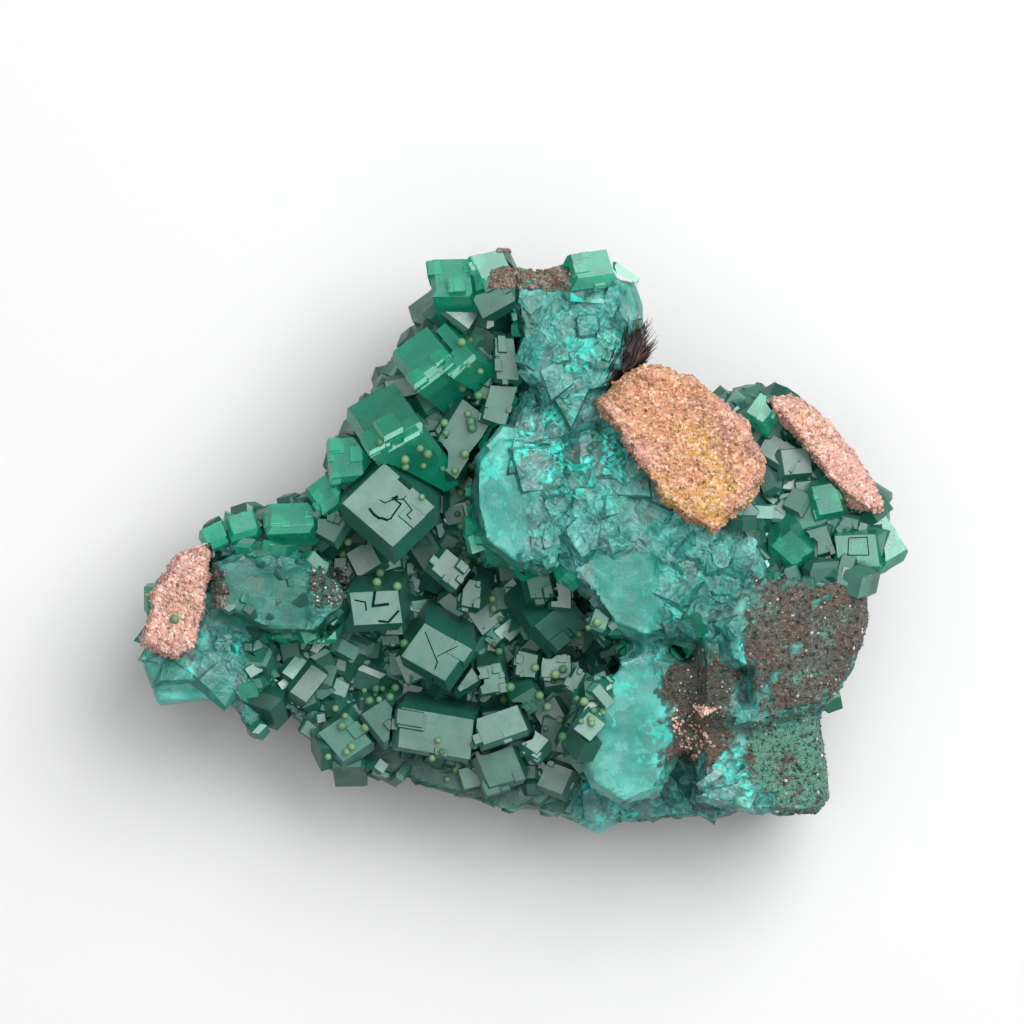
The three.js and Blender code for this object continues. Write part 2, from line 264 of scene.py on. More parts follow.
def emeraldMaterial(name, settings):
    material, graph, where = newMaterial(name)
    tint, film = graph.painted("tint"), graph.painted("film")
    cloud = graph.noise(where, 0.35, 3, 0.6)
    # crystals marked lit up and faces turned up get a lighter green and more sheen: painted light
    sheen = graph.smooth(tint, 0.0, 0.45) * 0.7 + 0.3
    level = graph.smooth(tint * 0.8 + cloud * 0.5, 0.2, 0.95) * (film * 0.7 + 0.3)
    colour = graph.mixColour(level, settings["deep"], settings["bright"])
    paintedBacklight = colour  # painted glow, standing in for light come through the crystal from behind
    # faces turned up carry a patchy grey, a painted sheen, and specks of dust
    patchy = graph.smooth(graph.noise(where, 0.42, 5, 0.65), 0.3, 0.66) * 0.7 + 0.45
    speck = graph.noise(where, 5.5, 4, 0.8)
    dust = graph.smooth(speck, 0.6, 0.74) * film * settings["speckle"]
    colour = graph.mixColour(film * patchy * sheen * settings["film"], colour, settings["dusty"])
    colour = graph.mixColour(dust * 0.6, colour, settings["dusty"])
    # sunken specks on the upper faces are painted the deep green, as shade in the pits
    pitShade = graph.smooth(speck, 0.42, 0.34) * film
    colour = graph.mixColour(pitShade * 0.8, colour, settings["deep"])
    rough = graph.smooth(graph.noise(where, 0.9, 3), 0.35, 0.7) * 0.2 + settings["roughness"]
    height = speck * (film * 0.5 + 0.1) + graph.noise(where, 1.8, 4) * 0.35
    bump = graph.bump(height, settings["relief"], settings["reliefDepth"])
    finishMaterial(
        graph,
        {
            "Base Color": colour,
            "Roughness": rough,
            "IOR": settings["ior"],
            "Transmission Weight": settings["transmission"],
            "Specular IOR Level": settings["specular"],
            "Coat Weight": (1 - dust) * sheen * (film * 0.6 + 0.4) * settings["coat"],
            "Coat Roughness": settings["polish"],
            "Coat IOR": settings["coatIor"],
            "Emission Color": paintedBacklight,
            "Emission Strength": settings["glow"],
            "Normal": bump,
        },
    )
    return material


rock = {
    "dark": (0.012, 0.1, 0.082),
    "mid": (0.035, 0.21, 0.175),
    "light": (0.075, 0.34, 0.29),
    "pale": (0.17, 0.5, 0.44),
    "fleck": (0.03, 0.56, 0.47),
    "grey": (0.125, 0.18, 0.17),
    "glass": (0.03, 0.3, 0.235),
    "deepGlass": (0.003, 0.085, 0.056),
    "crust": (0.108, 0.118, 0.1),
    "crustWarm": (0.13, 0.082, 0.062),
    "crustPale": (0.42, 0.42, 0.38),
    "crustGreen": (0.1, 0.34, 0.25),
    "rust": (0.2, 0.095, 0.06),
    # painted shade: the pocket floor between its crystals, and the shadow specks of the lower stone
    "pocket": (0.006, 0.06, 0.042),
    "bulk": (0.05, 0.13, 0.11),
    "host": (0.15, 0.105, 0.075),
    # painted shade in the crust's sunken pores
    "pore": (0.012, 0.016, 0.014),
    # painted glints on the crust
    "sparkle": (0.72, 0.68, 0.6),
    "crustDeep": (0.02, 0.032, 0.024),
    # painted shade in the pits
    "pit": (0.002, 0.012, 0.01),
    "facesPerMm": 0.27,
    "chipsPerMm": 0.8,
    "crumbsPerMm": 2.3,
    "facet": 0.2,
    "chip": 0.1,
    "crumb": 0.07,
    "relief": 0.9,
    "reliefDepth": 1.0,
    "ior": 1.6,
    "specular": 0.32,
    "subsurface": 0.15,
    "subsurfaceRadius": (0.3, 1.0, 0.85),
    "subsurfaceDepth": 1.2,
}


def rockMaterial(name, settings, zoned):
    material, graph, where = newMaterial(name)
    tint, deep, calm = (graph.painted(key) for key in ("tint", "deep", "calm"))
    broken = 1 - calm
    warpNoise = graph.add("ShaderNodeTexNoise", {}, {"Vector": where, "Scale": 0.35}).out("Color")
    bent = graph.vector("ADD", where, graph.vector("SCALE", warpNoise, scale=2.4))
    askew = {"Vector": bent, "Rotation": (0.6, 0.4, 0.9)}
    turned = graph.add("ShaderNodeVectorRotate", {"rotation_type": "EULER_XYZ"}, askew).out(0)
    # broken faces, each its own shade and its own streaks
    faceCells = graph.cells(turned, settings["facesPerMm"])
    face = graph.channels(faceCells.out("Color"))
    chip = graph.cellChannels(turned, settings["chipsPerMm"])
    crumb = graph.cellChannels(turned, settings["crumbsPerMm"])
    along = graph.vector("DOT_PRODUCT", where, graph.slant(faceCells))
    lines = {"W": along, "Scale": 5.0, "Detail": 4.0, "Roughness": 0.7}
    streak = graph.add("ShaderNodeTexNoise", {"noise_dimensions": "1D"}, lines).out(0) - 0.5
    broad = graph.noise(where, 0.09, 3, 0.55) - 0.5
    cloud = graph.noise(where, 0.55, 5, 0.64, 0.5) - 0.5
    shade = (face.out(0) - 0.5) * 0.42 + (chip.out(0) - 0.5) * broken * 0.3 + broad * 1.3 + cloud
    shade = shade + (crumb.out(0) - 0.5) * broken * 0.3
    shade = shade + streak * broken * 0.26 + tint * 0.22 - deep * 0.34 + 0.36
    stops = [(0.12, "dark"), (0.45, "mid"), (0.74, "light"), (1.0, "pale")]
    stops = [(at, settings[key]) for at, key in stops]
    ramp = graph.add("ShaderNodeValToRGB", {"stops": stops}, {0: shade}).out(0)
    glass = graph.mixColour(deep, settings["glass"], settings["deepGlass"])
    colour = graph.mixColour(graph.smooth(calm * 0.6 + deep * 0.8, 0, 1) * 0.85, ramp, glass)
    veil = graph.smooth(graph.noise(where, 0.34, 6, 0.7), 0.48, 0.62) * (1 - calm * 0.6)
    colour = graph.mixColour(veil * 0.72, colour, settings["grey"])
    vein = graph.smooth(graph.noise(where, 0.16, 3, 0.6, 0.8), 0.48, 0.6) * (1 - deep * 0.8)
    flakes = graph.smooth(chip.out(1) * 0.6 + crumb.out(1) * 0.4 + cloud * 0.9, 0.57, 0.72)
    dim = graph.smooth(chip.out(2) * 0.6 + crumb.out(2) * 0.4 - cloud * 0.5, 0.62, 0.72) * broken
    colour = graph.mixColour(dim * 0.7, colour, settings["dark"])
    flecked = flakes * (vein * 0.8 + 0.12) * (1 - deep * 0.6) * (1 - calm * 0.35)
    colour = graph.mixColour(flecked, colour, settings["fleck"])
    thread = graph.smooth(graph.noise(where, 0.42, 4, 0.55, 1.2) - 0.5, 0.03, 0.0)
    thread = thread * graph.smooth(graph.noise(where, 0.3, 2) - 0.5, -0.02, 0.06)
    colour = graph.mixColour(thread * 0.25 * (1 - deep), colour, settings["pale"])
    grain = graph.noise(where, 3.5, 4, 0.7)
    height = graph.facets(turned, 0.3) * settings["facet"] * (1 - calm * 0.85)
    height = height + graph.facets(turned, 0.95) * settings["chip"] * (1 - calm * 0.9)
    height = height + graph.facets(turned, settings["crumbsPerMm"]) * settings["crumb"] * broken
    height = height + cloud * 0.1 + streak * broken * 0.03
    rough = graph.noise(where, 0.8, 2) * 0.4 + 0.22
    if zoned:
        zone = graph.add("ShaderNodeAttribute", {"attribute_name": "zone"}).out("Color")
        split = graph.channels(zone)
        pocket, crust, bulk = split.out(0), split.out(1), split.out(2)
        speckle = graph.noise(where, 2.1, 5, 0.75)
        greenish = graph.noise(where, 0.24, 5, 0.7) + graph.painted("green") * 0.2
        greenish = graph.smooth(greenish, 0.56, 0.66)
        warm = graph.smooth(graph.noise(where, 0.3, 5, 0.7), 0.46, 0.6)
        crustColour = graph.mixColour(warm, settings["crust"], settings["crustWarm"])
        crustColour = graph.mixColour(greenish * 0.85, crustColour, settings["crustGreen"])
        # sunken specks of the crust are painted nearly black, as shade in the pores
        raised, sunkenShade = graph.smooth(speckle, 0.54, 0.68), graph.smooth(speckle, 0.49, 0.39)
        crustColour = graph.mixColour(raised * 0.55, crustColour, settings["crustPale"])
        crustColour = graph.mixColour(sunkenShade, crustColour, settings["pore"])
        # painted glints: small near-white spots on the crust
        sparkle = graph.smooth(graph.noise(where, 5.2, 3, 0.8), 0.62, 0.69)
        crustColour = graph.mixColour(sparkle * 0.8, crustColour, settings["sparkle"])
        rust = graph.smooth(graph.noise(where, 0.5, 4, 0.6) + graph.painted("rust") * 0.3, 0.66, 0.72)
        rust = rust * graph.smooth(speckle, 0.44, 0.58)
        crustColour = graph.mixColour(rust * 0.7, crustColour, settings["rust"])
        crustColour = graph.mixColour(deep * 0.55, crustColour, settings["crustDeep"])
        bulkColour = graph.mixColour(grain, settings["bulk"], settings["mid"])
        host = graph.smooth(graph.noise(where, 0.16, 6, 0.7) + (face.out(1) - 0.5) * 0.12, 0.49, 0.56)
        bulkColour = graph.mixColour(host * 0.8, bulkColour, settings["host"])
        shadow = graph.smooth(speckle, 0.5, 0.4)
        bulkColour = graph.mixColour(shadow * 0.6, bulkColour, settings["pocket"])
        colour = graph.mixColour(bulk * 0.8, colour, bulkColour)
        # the pocket floor is painted nearly black green, as shade between its crystals
        colour = graph.mixColour(pocket, colour, settings["pocket"])
        # the pits are painted nearly black, as shade in the hollows
        colour = graph.mixColour(graph.painted("pit"), colour, settings["pit"])
        colour = graph.mixColour(crust, colour, crustColour)
        rough = rough + crust * 0.3 + bulk * 0.2
        height = height * (1 - crust) + grain * (crust * 0.5 + 0.05) + speckle * crust * 0.6
    bump = graph.bump(height, settings["relief"], settings["reliefDepth"])
    finishMaterial(
        graph,
        {
            "Base Color": colour,
            "Roughness": rough,
            "IOR": settings["ior"],
            "Specular IOR Level": settings["specular"],
            "Subsurface Weight": settings["subsurface"],
            "Subsurface Radius": settings["subsurfaceRadius"],
            "Subsurface Scale": settings["subsurfaceDepth"] * mm,
            "Normal": bump,
        },
    )
    return material


sandGrain = {"perMm": 3.0, "relief": 0.9, "reliefDepth": 0.6, "roughness": 0.92}
sand = {
    "orange": (0.74, 0.35, 0.19),
    "pink": (0.7, 0.35, 0.28),
    "pale": (1.0, 0.7, 0.5),
    "dark": (0.19, 0.07, 0.045),
    "yellow": (0.78, 0.46, 0.11),
}
pinkSand = {
    "orange": (0.82, 0.43, 0.32),
    "pink": (0.84, 0.45, 0.37),
    "pale": (1.0, 0.78, 0.68),
    "dark": (0.24, 0.085, 0.06),
    "yellow": (0.82, 0.5, 0.32),
}
darkSand = {
    "orange": (0.19, 0.12, 0.09),
    "pink": (0.18, 0.125, 0.11),
    "pale": (0.42, 0.35, 0.3),
    "dark": (0.045, 0.035, 0.03),
    "yellow": (0.22, 0.14, 0.07),
}


def sandMaterial(name, settings):
    material, graph, where = newMaterial(name)
    tint = graph.painted("tint")
    grain = graph.cellChannels(where, sandGrain["perMm"])
    broad = graph.smooth(graph.noise(where, 0.1, 2), 0.42, 0.58)
    colour = graph.mixColour(broad, settings["orange"], settings["pink"])
    golden = graph.smooth(graph.noise(where, 0.17, 4, 0.6), 0.5, 0.62)
    colour = graph.mixColour(golden * 0.75, colour, settings["yellow"])
    colour = graph.mixColour(graph.smooth(grain.out(0), 0.5, 0.95) * 0.8, colour, settings["pale"])
    stain = graph.smooth(graph.noise(where, 0.5, 5, 0.7), 0.54, 0.7)
    colour = graph.mixColour(stain * 0.75, colour, settings["dark"])
    colour = graph.mixColour(graph.smooth(grain.out(1), 0.8, 0.97) * 0.6, colour, settings["dark"])
    colour = graph.mixColour(graph.smooth(tint, 0.3, 1) * 0.45, colour, settings["pale"])
    # sunken pores are painted dark, as shade
    shadedPores = graph.smooth(graph.noise(where, 3.4, 4, 0.75), 0.44, 0.34)
    colour = graph.mixColour(shadedPores * 0.75, colour, settings["dark"])
    rounded = graph.cells(where, sandGrain["perMm"]).out("Distance")
    height = graph.noise(where, 2.6, 5, 0.75) - rounded * 0.4 - shadedPores * 0.3
    bump = graph.bump(height, sandGrain["relief"], sandGrain["reliefDepth"])
    finishMaterial(graph, {"Base Color": colour, "Roughness": sandGrain["roughness"], "Normal": bump})
    return material


ball = {"pale": (0.15, 0.27, 0.12), "dark": (0.03, 0.13, 0.065), "roughness": 0.6}


def ballMaterial(name, settings):
    material, graph, where = newMaterial(name)
    tint = graph.painted("tint")
    colour = graph.mixColour(tint, settings["dark"], settings["pale"])
    height = graph.noise(where, 7, 3)
    bump = graph.bump(height, 0.5, 0.1)
    finishMaterial(graph, {"Base Color": colour, "Roughness": settings["roughness"], "Normal": bump})
    return material


crustGrain = {
    "dark": (0.055, 0.05, 0.043),
    "light": (0.5, 0.46, 0.4),
    "green": (0.05, 0.2, 0.14),
    "roughness": 0.45,
}


def crustMaterial(name, settings):
    material, graph, where = newMaterial(name)
    tint = graph.painted("tint")
    colour = graph.mixColour(graph.smooth(tint, 0.72, 1), settings["dark"], settings["light"])
    greenish = graph.smooth(graph.noise(where, 0.2, 3), 0.55, 0.65)
    colour = graph.mixColour(greenish * 0.7, colour, settings["green"])
    finishMaterial(graph, {"Base Color": colour, "Roughness": settings["roughness"]})
    return material


needle = {"dark": (0.018, 0.008, 0.01), "sheen": (0.16, 0.1, 0.1), "roughness": 0.35}


def needleMaterial(name, settings):
    material, graph, _ = newMaterial(name)
    tint = graph.painted("tint")
    colour = graph.mixColour(graph.smooth(tint, 0.6, 1), settings["dark"], settings["sheen"])
    finishMaterial(graph, {"Base Color": colour, "Roughness": settings["roughness"]})
    return material


# growth grooves painted a near-black green with no shine, as shade in the grooves
groove = {"colour": (0.012, 0.075, 0.055), "roughness": 0.9, "specular": 0.05}


def shadedGrooveMaterial(name, settings):
    material, graph, where = newMaterial(name)
    colour = graph.mixColour(graph.noise(where, 3), settings["colour"], (0.0, 0.0, 0.0))
    finishMaterial(
        graph,
        {
            "Base Color": colour,
            "Roughness": settings["roughness"],
            "Specular IOR Level": settings["specular"],
        },
    )
    return material


materials = {
    "emerald": emeraldMaterial("emeraldDioptase", emerald),
    "backlit": emeraldMaterial("backlitDioptase", backlit),
    "rock": rockMaterial("turquoiseDioptase", rock, True),
    "shard": rockMaterial("cleavedDioptase", rock, False),
    "sand": sandMaterial("sandyRock", sand),
    "pinkSand": sandMaterial("pinkSand", pinkSand),
    "darkSand": sandMaterial("darkSand", darkSand),
    "ball": ballMaterial("greenBall", ball),
    "needle": needleMaterial("darkNeedle", needle),
    "crust": crustMaterial("crustGrain", crustGrain),
    "groove": shadedGrooveMaterial("growthGroove", groove),
}
print("materials made")


def newObject(name, data, material=None):
    obj = bpy.data.objects.new(name, data)
    bpy.context.scene.collection.objects.link(obj)
    if material:
        data.materials.clear()
        data.materials.append(material)
    return obj


def evaluated(obj):
    # the object's mesh with its modifiers worked out, as a plain mesh
    depsgraph = bpy.context.evaluated_depsgraph_get()
    return bpy.data.meshes.new_from_object(obj.evaluated_get(depsgraph))


def closed(node):
    # a copy of a CAD solid with its corners merged, as a mesh and an open edit of it
    mesh = frame["nodes"][node].data.copy()
    edit = bmesh.new()
    edit.from_mesh(mesh)
    bmesh.ops.remove_doubles(edit, verts=edit.verts, dist=weldDistance)
    bmesh.ops.recalc_face_normals(edit, faces=edit.faces)
    return mesh, edit


def finePiece(name, node, voxel):
    # a close, even mesh over a CAD solid
    mesh, edit = closed(node)
    edit.to_mesh(mesh)
    edit.free()
    work = newObject(name, mesh)
    remesh = work.modifiers.new("even", "REMESH")
    remesh.mode = "VOXEL"
    remesh.voxel_size = voxel * mm
    work.data = evaluated(work)
    work.modifiers.clear()
    work.data.name = name
    return work


def meshFrom(edit, name):
    mesh = bpy.data.meshes.new(name)
    edit.to_mesh(mesh)
    edit.free()
    return mesh


def points(mesh):
    flat = np.zeros(len(mesh.vertices) * 3, np.float32)
    mesh.vertices.foreach_get("co", flat)
    return flat.reshape(-1, 3) / mm


def normals(mesh):
    flat = np.zeros(len(mesh.vertices) * 3, np.float32)
    mesh.vertex_normals.foreach_get("vector", flat)
    return flat.reshape(-1, 3)


def depthInside(where, outline):
    # how far inside an outline each point is, in mm seen from above; negative outside
    ring = np.array(outline, float) + np.array(offset)
    best = np.full(len(where), 1e9)
    inside = np.zeros(len(where), bool)
    x, y = where[:, 0], where[:, 1]
    for (ax, ay), (bx, by) in zip(ring, np.roll(ring, -1, 0)):
        dx, dy = bx - ax, by - ay
        t = np.clip(((x - ax) * dx + (y - ay) * dy) / (dx * dx + dy * dy), 0, 1)
        best = np.minimum(best, np.hypot(x - ax - t * dx, y - ay - t * dy))
        crosses = (ay > y) != (by > y)
        inside ^= crosses & (x < (bx - ax) * (y - ay) / (by - ay + 1e-12) + ax)
    return np.where(inside, best, -best)


def lineDistance(where, start, end):
    ax, ay = start[0] + offset.x, start[1] + offset.y
    dx, dy = end[0] - start[0], end[1] - start[1]
    x, y = where[:, 0] - ax, where[:, 1] - ay
    t = np.clip((x * dx + y * dy) / (dx * dx + dy * dy), 0, 1)
    return np.hypot(x - t * dx, y - t * dy)


def inAny(where, outlines, wobble, low, high):
    # 1 inside any of the outlines, 0 outside, with a soft border
    best = np.zeros(len(where))
    for outline in outlines:
        best = np.maximum(best, soft(depthInside(where, outline) + wobble, low, high))
    return best


def soft(value, low, high):
    t = np.clip((value - low) / (high - low), 0, 1)
    return t * t * (3 - 2 * t)


def noiseAt(where, scale, seed=0.0):
    shift = Vector((seed, seed * 1.7, seed * 0.6))
    return np.array([noise.noise(Vector(p) * scale + shift) for p in where])


def storeColour(mesh, name, red, green, blue):
    layer = mesh.attributes.new(name, "FLOAT_COLOR", "POINT")
    values = np.stack([red, green, blue, np.ones(len(red))], 1).astype(np.float32)
    layer.data.foreach_set("color", values.ravel())


def storeFloat(mesh, name, values):
    layer = mesh.attributes.new(name, "FLOAT", "POINT")
    layer.data.foreach_set("value", np.asarray(values, np.float32))


def storeDustAndSheen(mesh, strength=1.0):
    # how much painted sheen and dust each face carries, by how far it is turned up
    flat = np.zeros(len(mesh.polygons) * 3, np.float32)
    mesh.polygons.foreach_get("normal", flat)
    upward = soft(flat.reshape(-1, 3)[:, 2], 0.7, 0.96).astype(np.float32)
    layer = mesh.attributes.new("film", "FLOAT", "FACE")
    layer.data.foreach_set("value", upward * strength)


def geometryTree(name, inputs):
    # a geometry node group with named number inputs, and the wires that read them
    tree = bpy.data.node_groups.new(name, "GeometryNodeTree")
    tree.interface.new_socket("Geometry", in_out="INPUT", socket_type="NodeSocketGeometry")
    kinds = {float: "NodeSocketFloat", int: "NodeSocketInt"}
    for key, value in inputs.items():
        tree.interface.new_socket(key, in_out="INPUT", socket_type=kinds[type(value)])
    tree.interface.new_socket("Geometry", in_out="OUTPUT", socket_type="NodeSocketGeometry")
    graph = Graph(tree)
    entry = graph.add("NodeGroupInput")
    return tree, graph, {key: entry.out(key) for key in ["Geometry", *inputs]}


def runTree(obj, tree, inputs):
    # puts the tree on the object, works it out once and leaves a plain mesh
    modifier = obj.modifiers.new(tree.name, "NODES")
    modifier.node_group = tree
    for item in tree.interface.items_tree:
        if item.in_out == "INPUT" and item.name in inputs:
            modifier[item.identifier] = inputs[item.name]
    made = evaluated(obj)
    obj.modifiers.clear()
    obj.data = made
    return obj


habit = {"faceAngle": 84.5}


def planeCorners(planes):
    # where three planes meet and no other plane cuts the corner off; a plane is (normal, reach)
    corners = []
    for three in combinations(planes, 3):
        directions = np.array([plane[0] for plane in three])
        if abs(np.linalg.det(directions)) < 1e-3:
            continue
        corner = np.linalg.solve(directions, np.array([plane[1] for plane in three]))
        if all(np.dot(n, corner) < r + 1e-5 for n, r in planes):
            corners.append(corner)
    return corners


def planesMesh(name, planes):
    # the closed shape inside a set of planes
    edit = bmesh.new()
    for corner in planeCorners(planes):
        edit.verts.new(corner)
    bmesh.ops.remove_doubles(edit, verts=edit.verts, dist=0.01)
    bmesh.ops.convex_hull(edit, input=edit.verts)
    bmesh.ops.dissolve_limit(edit, angle_limit=0.02, verts=edit.verts, edges=edit.edges)
    bmesh.ops.recalc_face_normals(edit, faces=edit.faces)
    return meshFrom(edit, name)


def crystalMesh(name, size, blunt):
    # one rhombohedron, its waist edges cut by the prism; size is the reach of its three face pairs
    c = math.cos(math.radians(habit["faceAngle"]))
    s = math.sin(math.radians(habit["faceAngle"]))
    nx = (c - c * c) / s
    faces = [np.array(v) for v in ((0, 0, 1), (s, 0, c), (nx, math.sqrt(1 - nx * nx - c * c), c))]
    planes = [(sign * n, r / 2) for n, r in zip(faces, size) for sign in (1, -1)]
    whole = planeCorners(planes)
    for i in range(3):
        waist = faces[i] - faces[(i + 1) % 3]
        waist = waist / np.linalg.norm(waist)
        furthest = max(float(np.dot(waist, p)) for p in whole)
        planes += [(waist, furthest * blunt), (-waist, furthest * blunt)]
    return planesMesh(name, planes)


stone = {
    "voxel": 0.385,
    "tint": 0.3,
    "inputs": {
        "Swell": 0.7,
        "Swells per mm": 1 / 7.0,
        "Facet tilt": 0.4,
        "Facets per mm": 1 / 2.6,
        "Chip tilt": 0.35,
        "Chips per mm": 1 / 1.1,
        "Foot tilt": 0.45,
        "Inset": 0.45,
        "Pit": 2.2,
    },
}
pocketOutline = [
    (-2, 25), (-0.6, 16), (-4.4, 11), (-5.6, 1.6), (-3.8, -3.6), (4, -4.4), (9.4, -9.4), (8, -15.6),
    (6.6, -21.8), (2, -29), (-20, -25), (-27, -20), (-27, -11), (-20, -9.6), (-17, -5), (-21, 0),
    (-33, 0.4), (-33, 4), (-22, 6), (-15, 18), (-8, 28),
]
crustOutlines = [
    [(23.4, -4.2), (30.6, -4.8), (31.6, -3.2), (34.2, -3.4), (35.6, -8), (34.6, -12), (32.2, -16),
     (28, -17.6), (23.6, -17.4), (22.4, -11)],
    [(14.6, -12.4), (21.6, -12.2), (21.4, -17.4), (19.6, -22.6), (15.2, -22.4), (14.4, -17)],
    [(21.6, -18.6), (31.6, -18.8), (31.8, -28.6), (27, -28.6), (22, -24)],
]
greenOutline = [(20.6, -18), (33, -18), (33, -29), (24, -29), (20.6, -24)]
rustOutlines = [
    [(14.4, -15.6), (19.8, -16.4), (19.6, -22.8), (15, -22.8)],
    [(28, -4), (33, -4), (33, -8), (29, -7)],
]
# turquoise left showing through the crust
veinLines = [  # width, start and end
    (0.2, (23.2, -16.6), (27.4, -11.2)),
    (0.5, (21.9, -17.2), (21.9, -28)),
]
pitOutlines = [
    [(21.4, -13.2), (23.2, -13), (23.2, -17), (21.4, -17.2)],
    [(6.7, -10.2), (9.4, -10), (9.6, -13.4), (7, -13.6)],
]
sillOutline = [
    (-30, -18), (-22, -19), (-10, -25), (0, -29.4), (6, -29.4), (2, -26), (-12, -22), (-24, -17),
]
# rounded, glassy lobes that break less
smoothOutlines = [
    [(-5, 8), (-2.6, 10.6), (-0.6, 10.4), (0.8, 5.5), (0.6, 0), (-0.6, -4.3), (-4.4, -1), (-5.4, 3.4)],
    [(7, -14), (13, -12), (15.6, -16), (15.4, -22), (13, -26.4), (9, -27.4), (5.6, -24.4), (4.8, -20)],
    [(-30, -2.4), (-26, -2.4), (-22, -4), (-21, -9), (-25, -10.4), (-30.4, -9)],
    [(7, -2), (13, -1), (15, -6), (12, -12), (8, -8)],
    sillOutline,
]
# straight cleavage faces: the arm's end block and the crown's right side
straightOutlines = [
    [(-39.6, -12), (-34, -13.4), (-30.4, -13.8), (-29.4, -18), (-39, -18.4)],
    [(10.4, 25.6), (13.2, 25.2), (13.2, 16.4), (10.8, 16.4)],
]
paleOutlines = [
    [(-39, -12), (-37.1, -12.6), (-36.6, -17), (-38.6, -18)],
    [(-36.8, -15.6), (-30, -16), (-30, -18), (-37, -18)],
    [(11.8, 25), (13.2, 25), (13.2, 17), (12, 17)],
]
tuftOutline = [(7.4, 13.8), (9.8, 14.2), (11.6, 17.4), (12, 20.6), (10.6, 20.2), (8.6, 17.6)]
# left without chips: straight faces and the foot of the needles
bareOutlines = [*straightOutlines, tuftOutline]
armOutline = [(-31, -1), (-27, 0.4), (-20, -1.4), (-17.4, -5), (-20, -10.6), (-27, -11), (-30.6, -8)]
# darker, greener stone: outline and how much
deepOutlines = [
    (0.8, [(14.4, -12.2), (21.8, -12.2), (21.6, -17.6), (18.4, -18), (14.6, -16)]),
    (0.5, [(-2, 25), (13, 25), (13, 20), (6, 18), (-1, 16)]),
    (0.5, [(4, 3), (12, 3.6), (20, -1), (22, -6), (16, -9), (6, -6)]),
    (0.9, armOutline),
    (0.6, [(4, -4), (10, -5), (13, -8), (12, -12), (8, -10.5)]),
    (0.45, [(12, -1), (22, 1.4), (24, -4), (22, -11), (14, -11), (12, -6)]),
    (0.7, [(-38.4, -11.4), (-32, -12.4), (-27.5, -14), (-28, -18), (-38, -18)]),
    (0.5, [(-30, -15), (-24, -16), (-24, -20.4), (-30, -19)]),
]
rightPocketOutline = [
    (18, 15), (27, 14.4), (36.6, 2.6), (39, -2), (34.6, -4.4), (25.4, -4.2), (21.6, 1.6), (24.4, 6.4),
]


def stoneTree(material):
    tree, graph, given = geometryTree("brokenStone", stone["inputs"])
    position = graph.positionInMm()
    split = graph.add("FunctionNodeSeparateColor", {}, {0: graph.stored("zone", "FLOAT_COLOR")})
    crust, bulk = split.out(1), split.out(2)
    calm, straight, pit = (graph.stored(key) for key in ("calm", "straight", "pit"))
    swell = graph.noise(position, given["Swells per mm"], 3, 0.55) - 0.5
    facets = graph.tilt(position, given["Facets per mm"])
    chips = graph.tilt(position, given["Chips per mm"])
    grain = graph.noise(position, 2.4, 3, 0.7) - 0.5
    broken = facets * given["Facet tilt"] + chips * given["Chip tilt"]
    broken = broken * (1 - crust * 0.8) * (1 - calm * 0.92)
    broken = broken + facets * bulk * given["Foot tilt"]
    amount = swell * given["Swell"] * 2 + broken + grain * crust * 0.35 - given["Inset"]
    amount = amount * (1 - straight) - pit * given["Pit"]
    graph.endTree(graph.pushed(given["Geometry"], amount), material)
    return tree


def makeStone():
    piece = finePiece("stone", "matrix", stone["voxel"])
    where = points(piece.data)
    wobble = noiseAt(where, 0.45) * 1.6 + noiseAt(where, 1.3, 9) * 0.7
    pocket = inAny(where, [pocketOutline, rightPocketOutline], wobble, -0.2, 0.9)
    ragged = wobble * 1.1 + noiseAt(where, 2.3, 5) * 1.1
    crust = inAny(where, crustOutlines, ragged + 0.2, -0.25, 0.3)
    for width, start, end in veinLines:
        reach = lineDistance(where, start, end) + wobble * 0.6
        crust *= soft(reach, width * 0.6, width * 1.2)
    crust *= soft(where[:, 2], 8, 14)
    bulk = soft(-(where[:, 2] - 9 + wobble * 2), -3, 3)
    storeColour(piece.data, "zone", pocket, crust, bulk)
    pale = inAny(where, paleOutlines, 0, -0.2, 0.2)
    storeFloat(piece.data, "tint", stone["tint"] + pale * 1.8)
    deep = np.zeros(len(where))
    for amount, outline in deepOutlines:
        deep = np.maximum(deep, amount * soft(depthInside(where, outline) + wobble, -1.2, 1.2))
    storeFloat(piece.data, "deep", deep * (1 - pale))
    high = soft(where[:, 2], 6, 10)
    straight = inAny(where, straightOutlines, 0, -1, 0.5)
    calm = inAny(where, smoothOutlines, wobble * 0.5, -0.8, 0.8) * high
    storeFloat(piece.data, "calm", np.maximum(calm, straight))
    storeFloat(piece.data, "straight", straight)
    storeFloat(piece.data, "pit", inAny(where, pitOutlines, wobble * 0.5, -0.5, 0.7) * high)
    storeFloat(piece.data, "rust", inAny(where, rustOutlines, wobble * 0.5, -0.8, 0.8))
    storeFloat(piece.data, "green", inAny(where, [greenOutline], wobble, -1, 1))
    piece.data.materials.clear()
    runTree(piece, stoneTree(materials["rock"]), stone["inputs"])
    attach(piece, "root")
    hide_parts("matrix")
    return piece


stonePiece = makeStone()
print("stone made", len(stonePiece.data.polygons))


largeCrystal = {
    "bevel": 0.06,
    "clear": 0.55,
    "seed": 5,
    "satellites": 5,
    "smallest": 0.16,
    "largest": 0.4,
    "markDepth": 0.35,
}
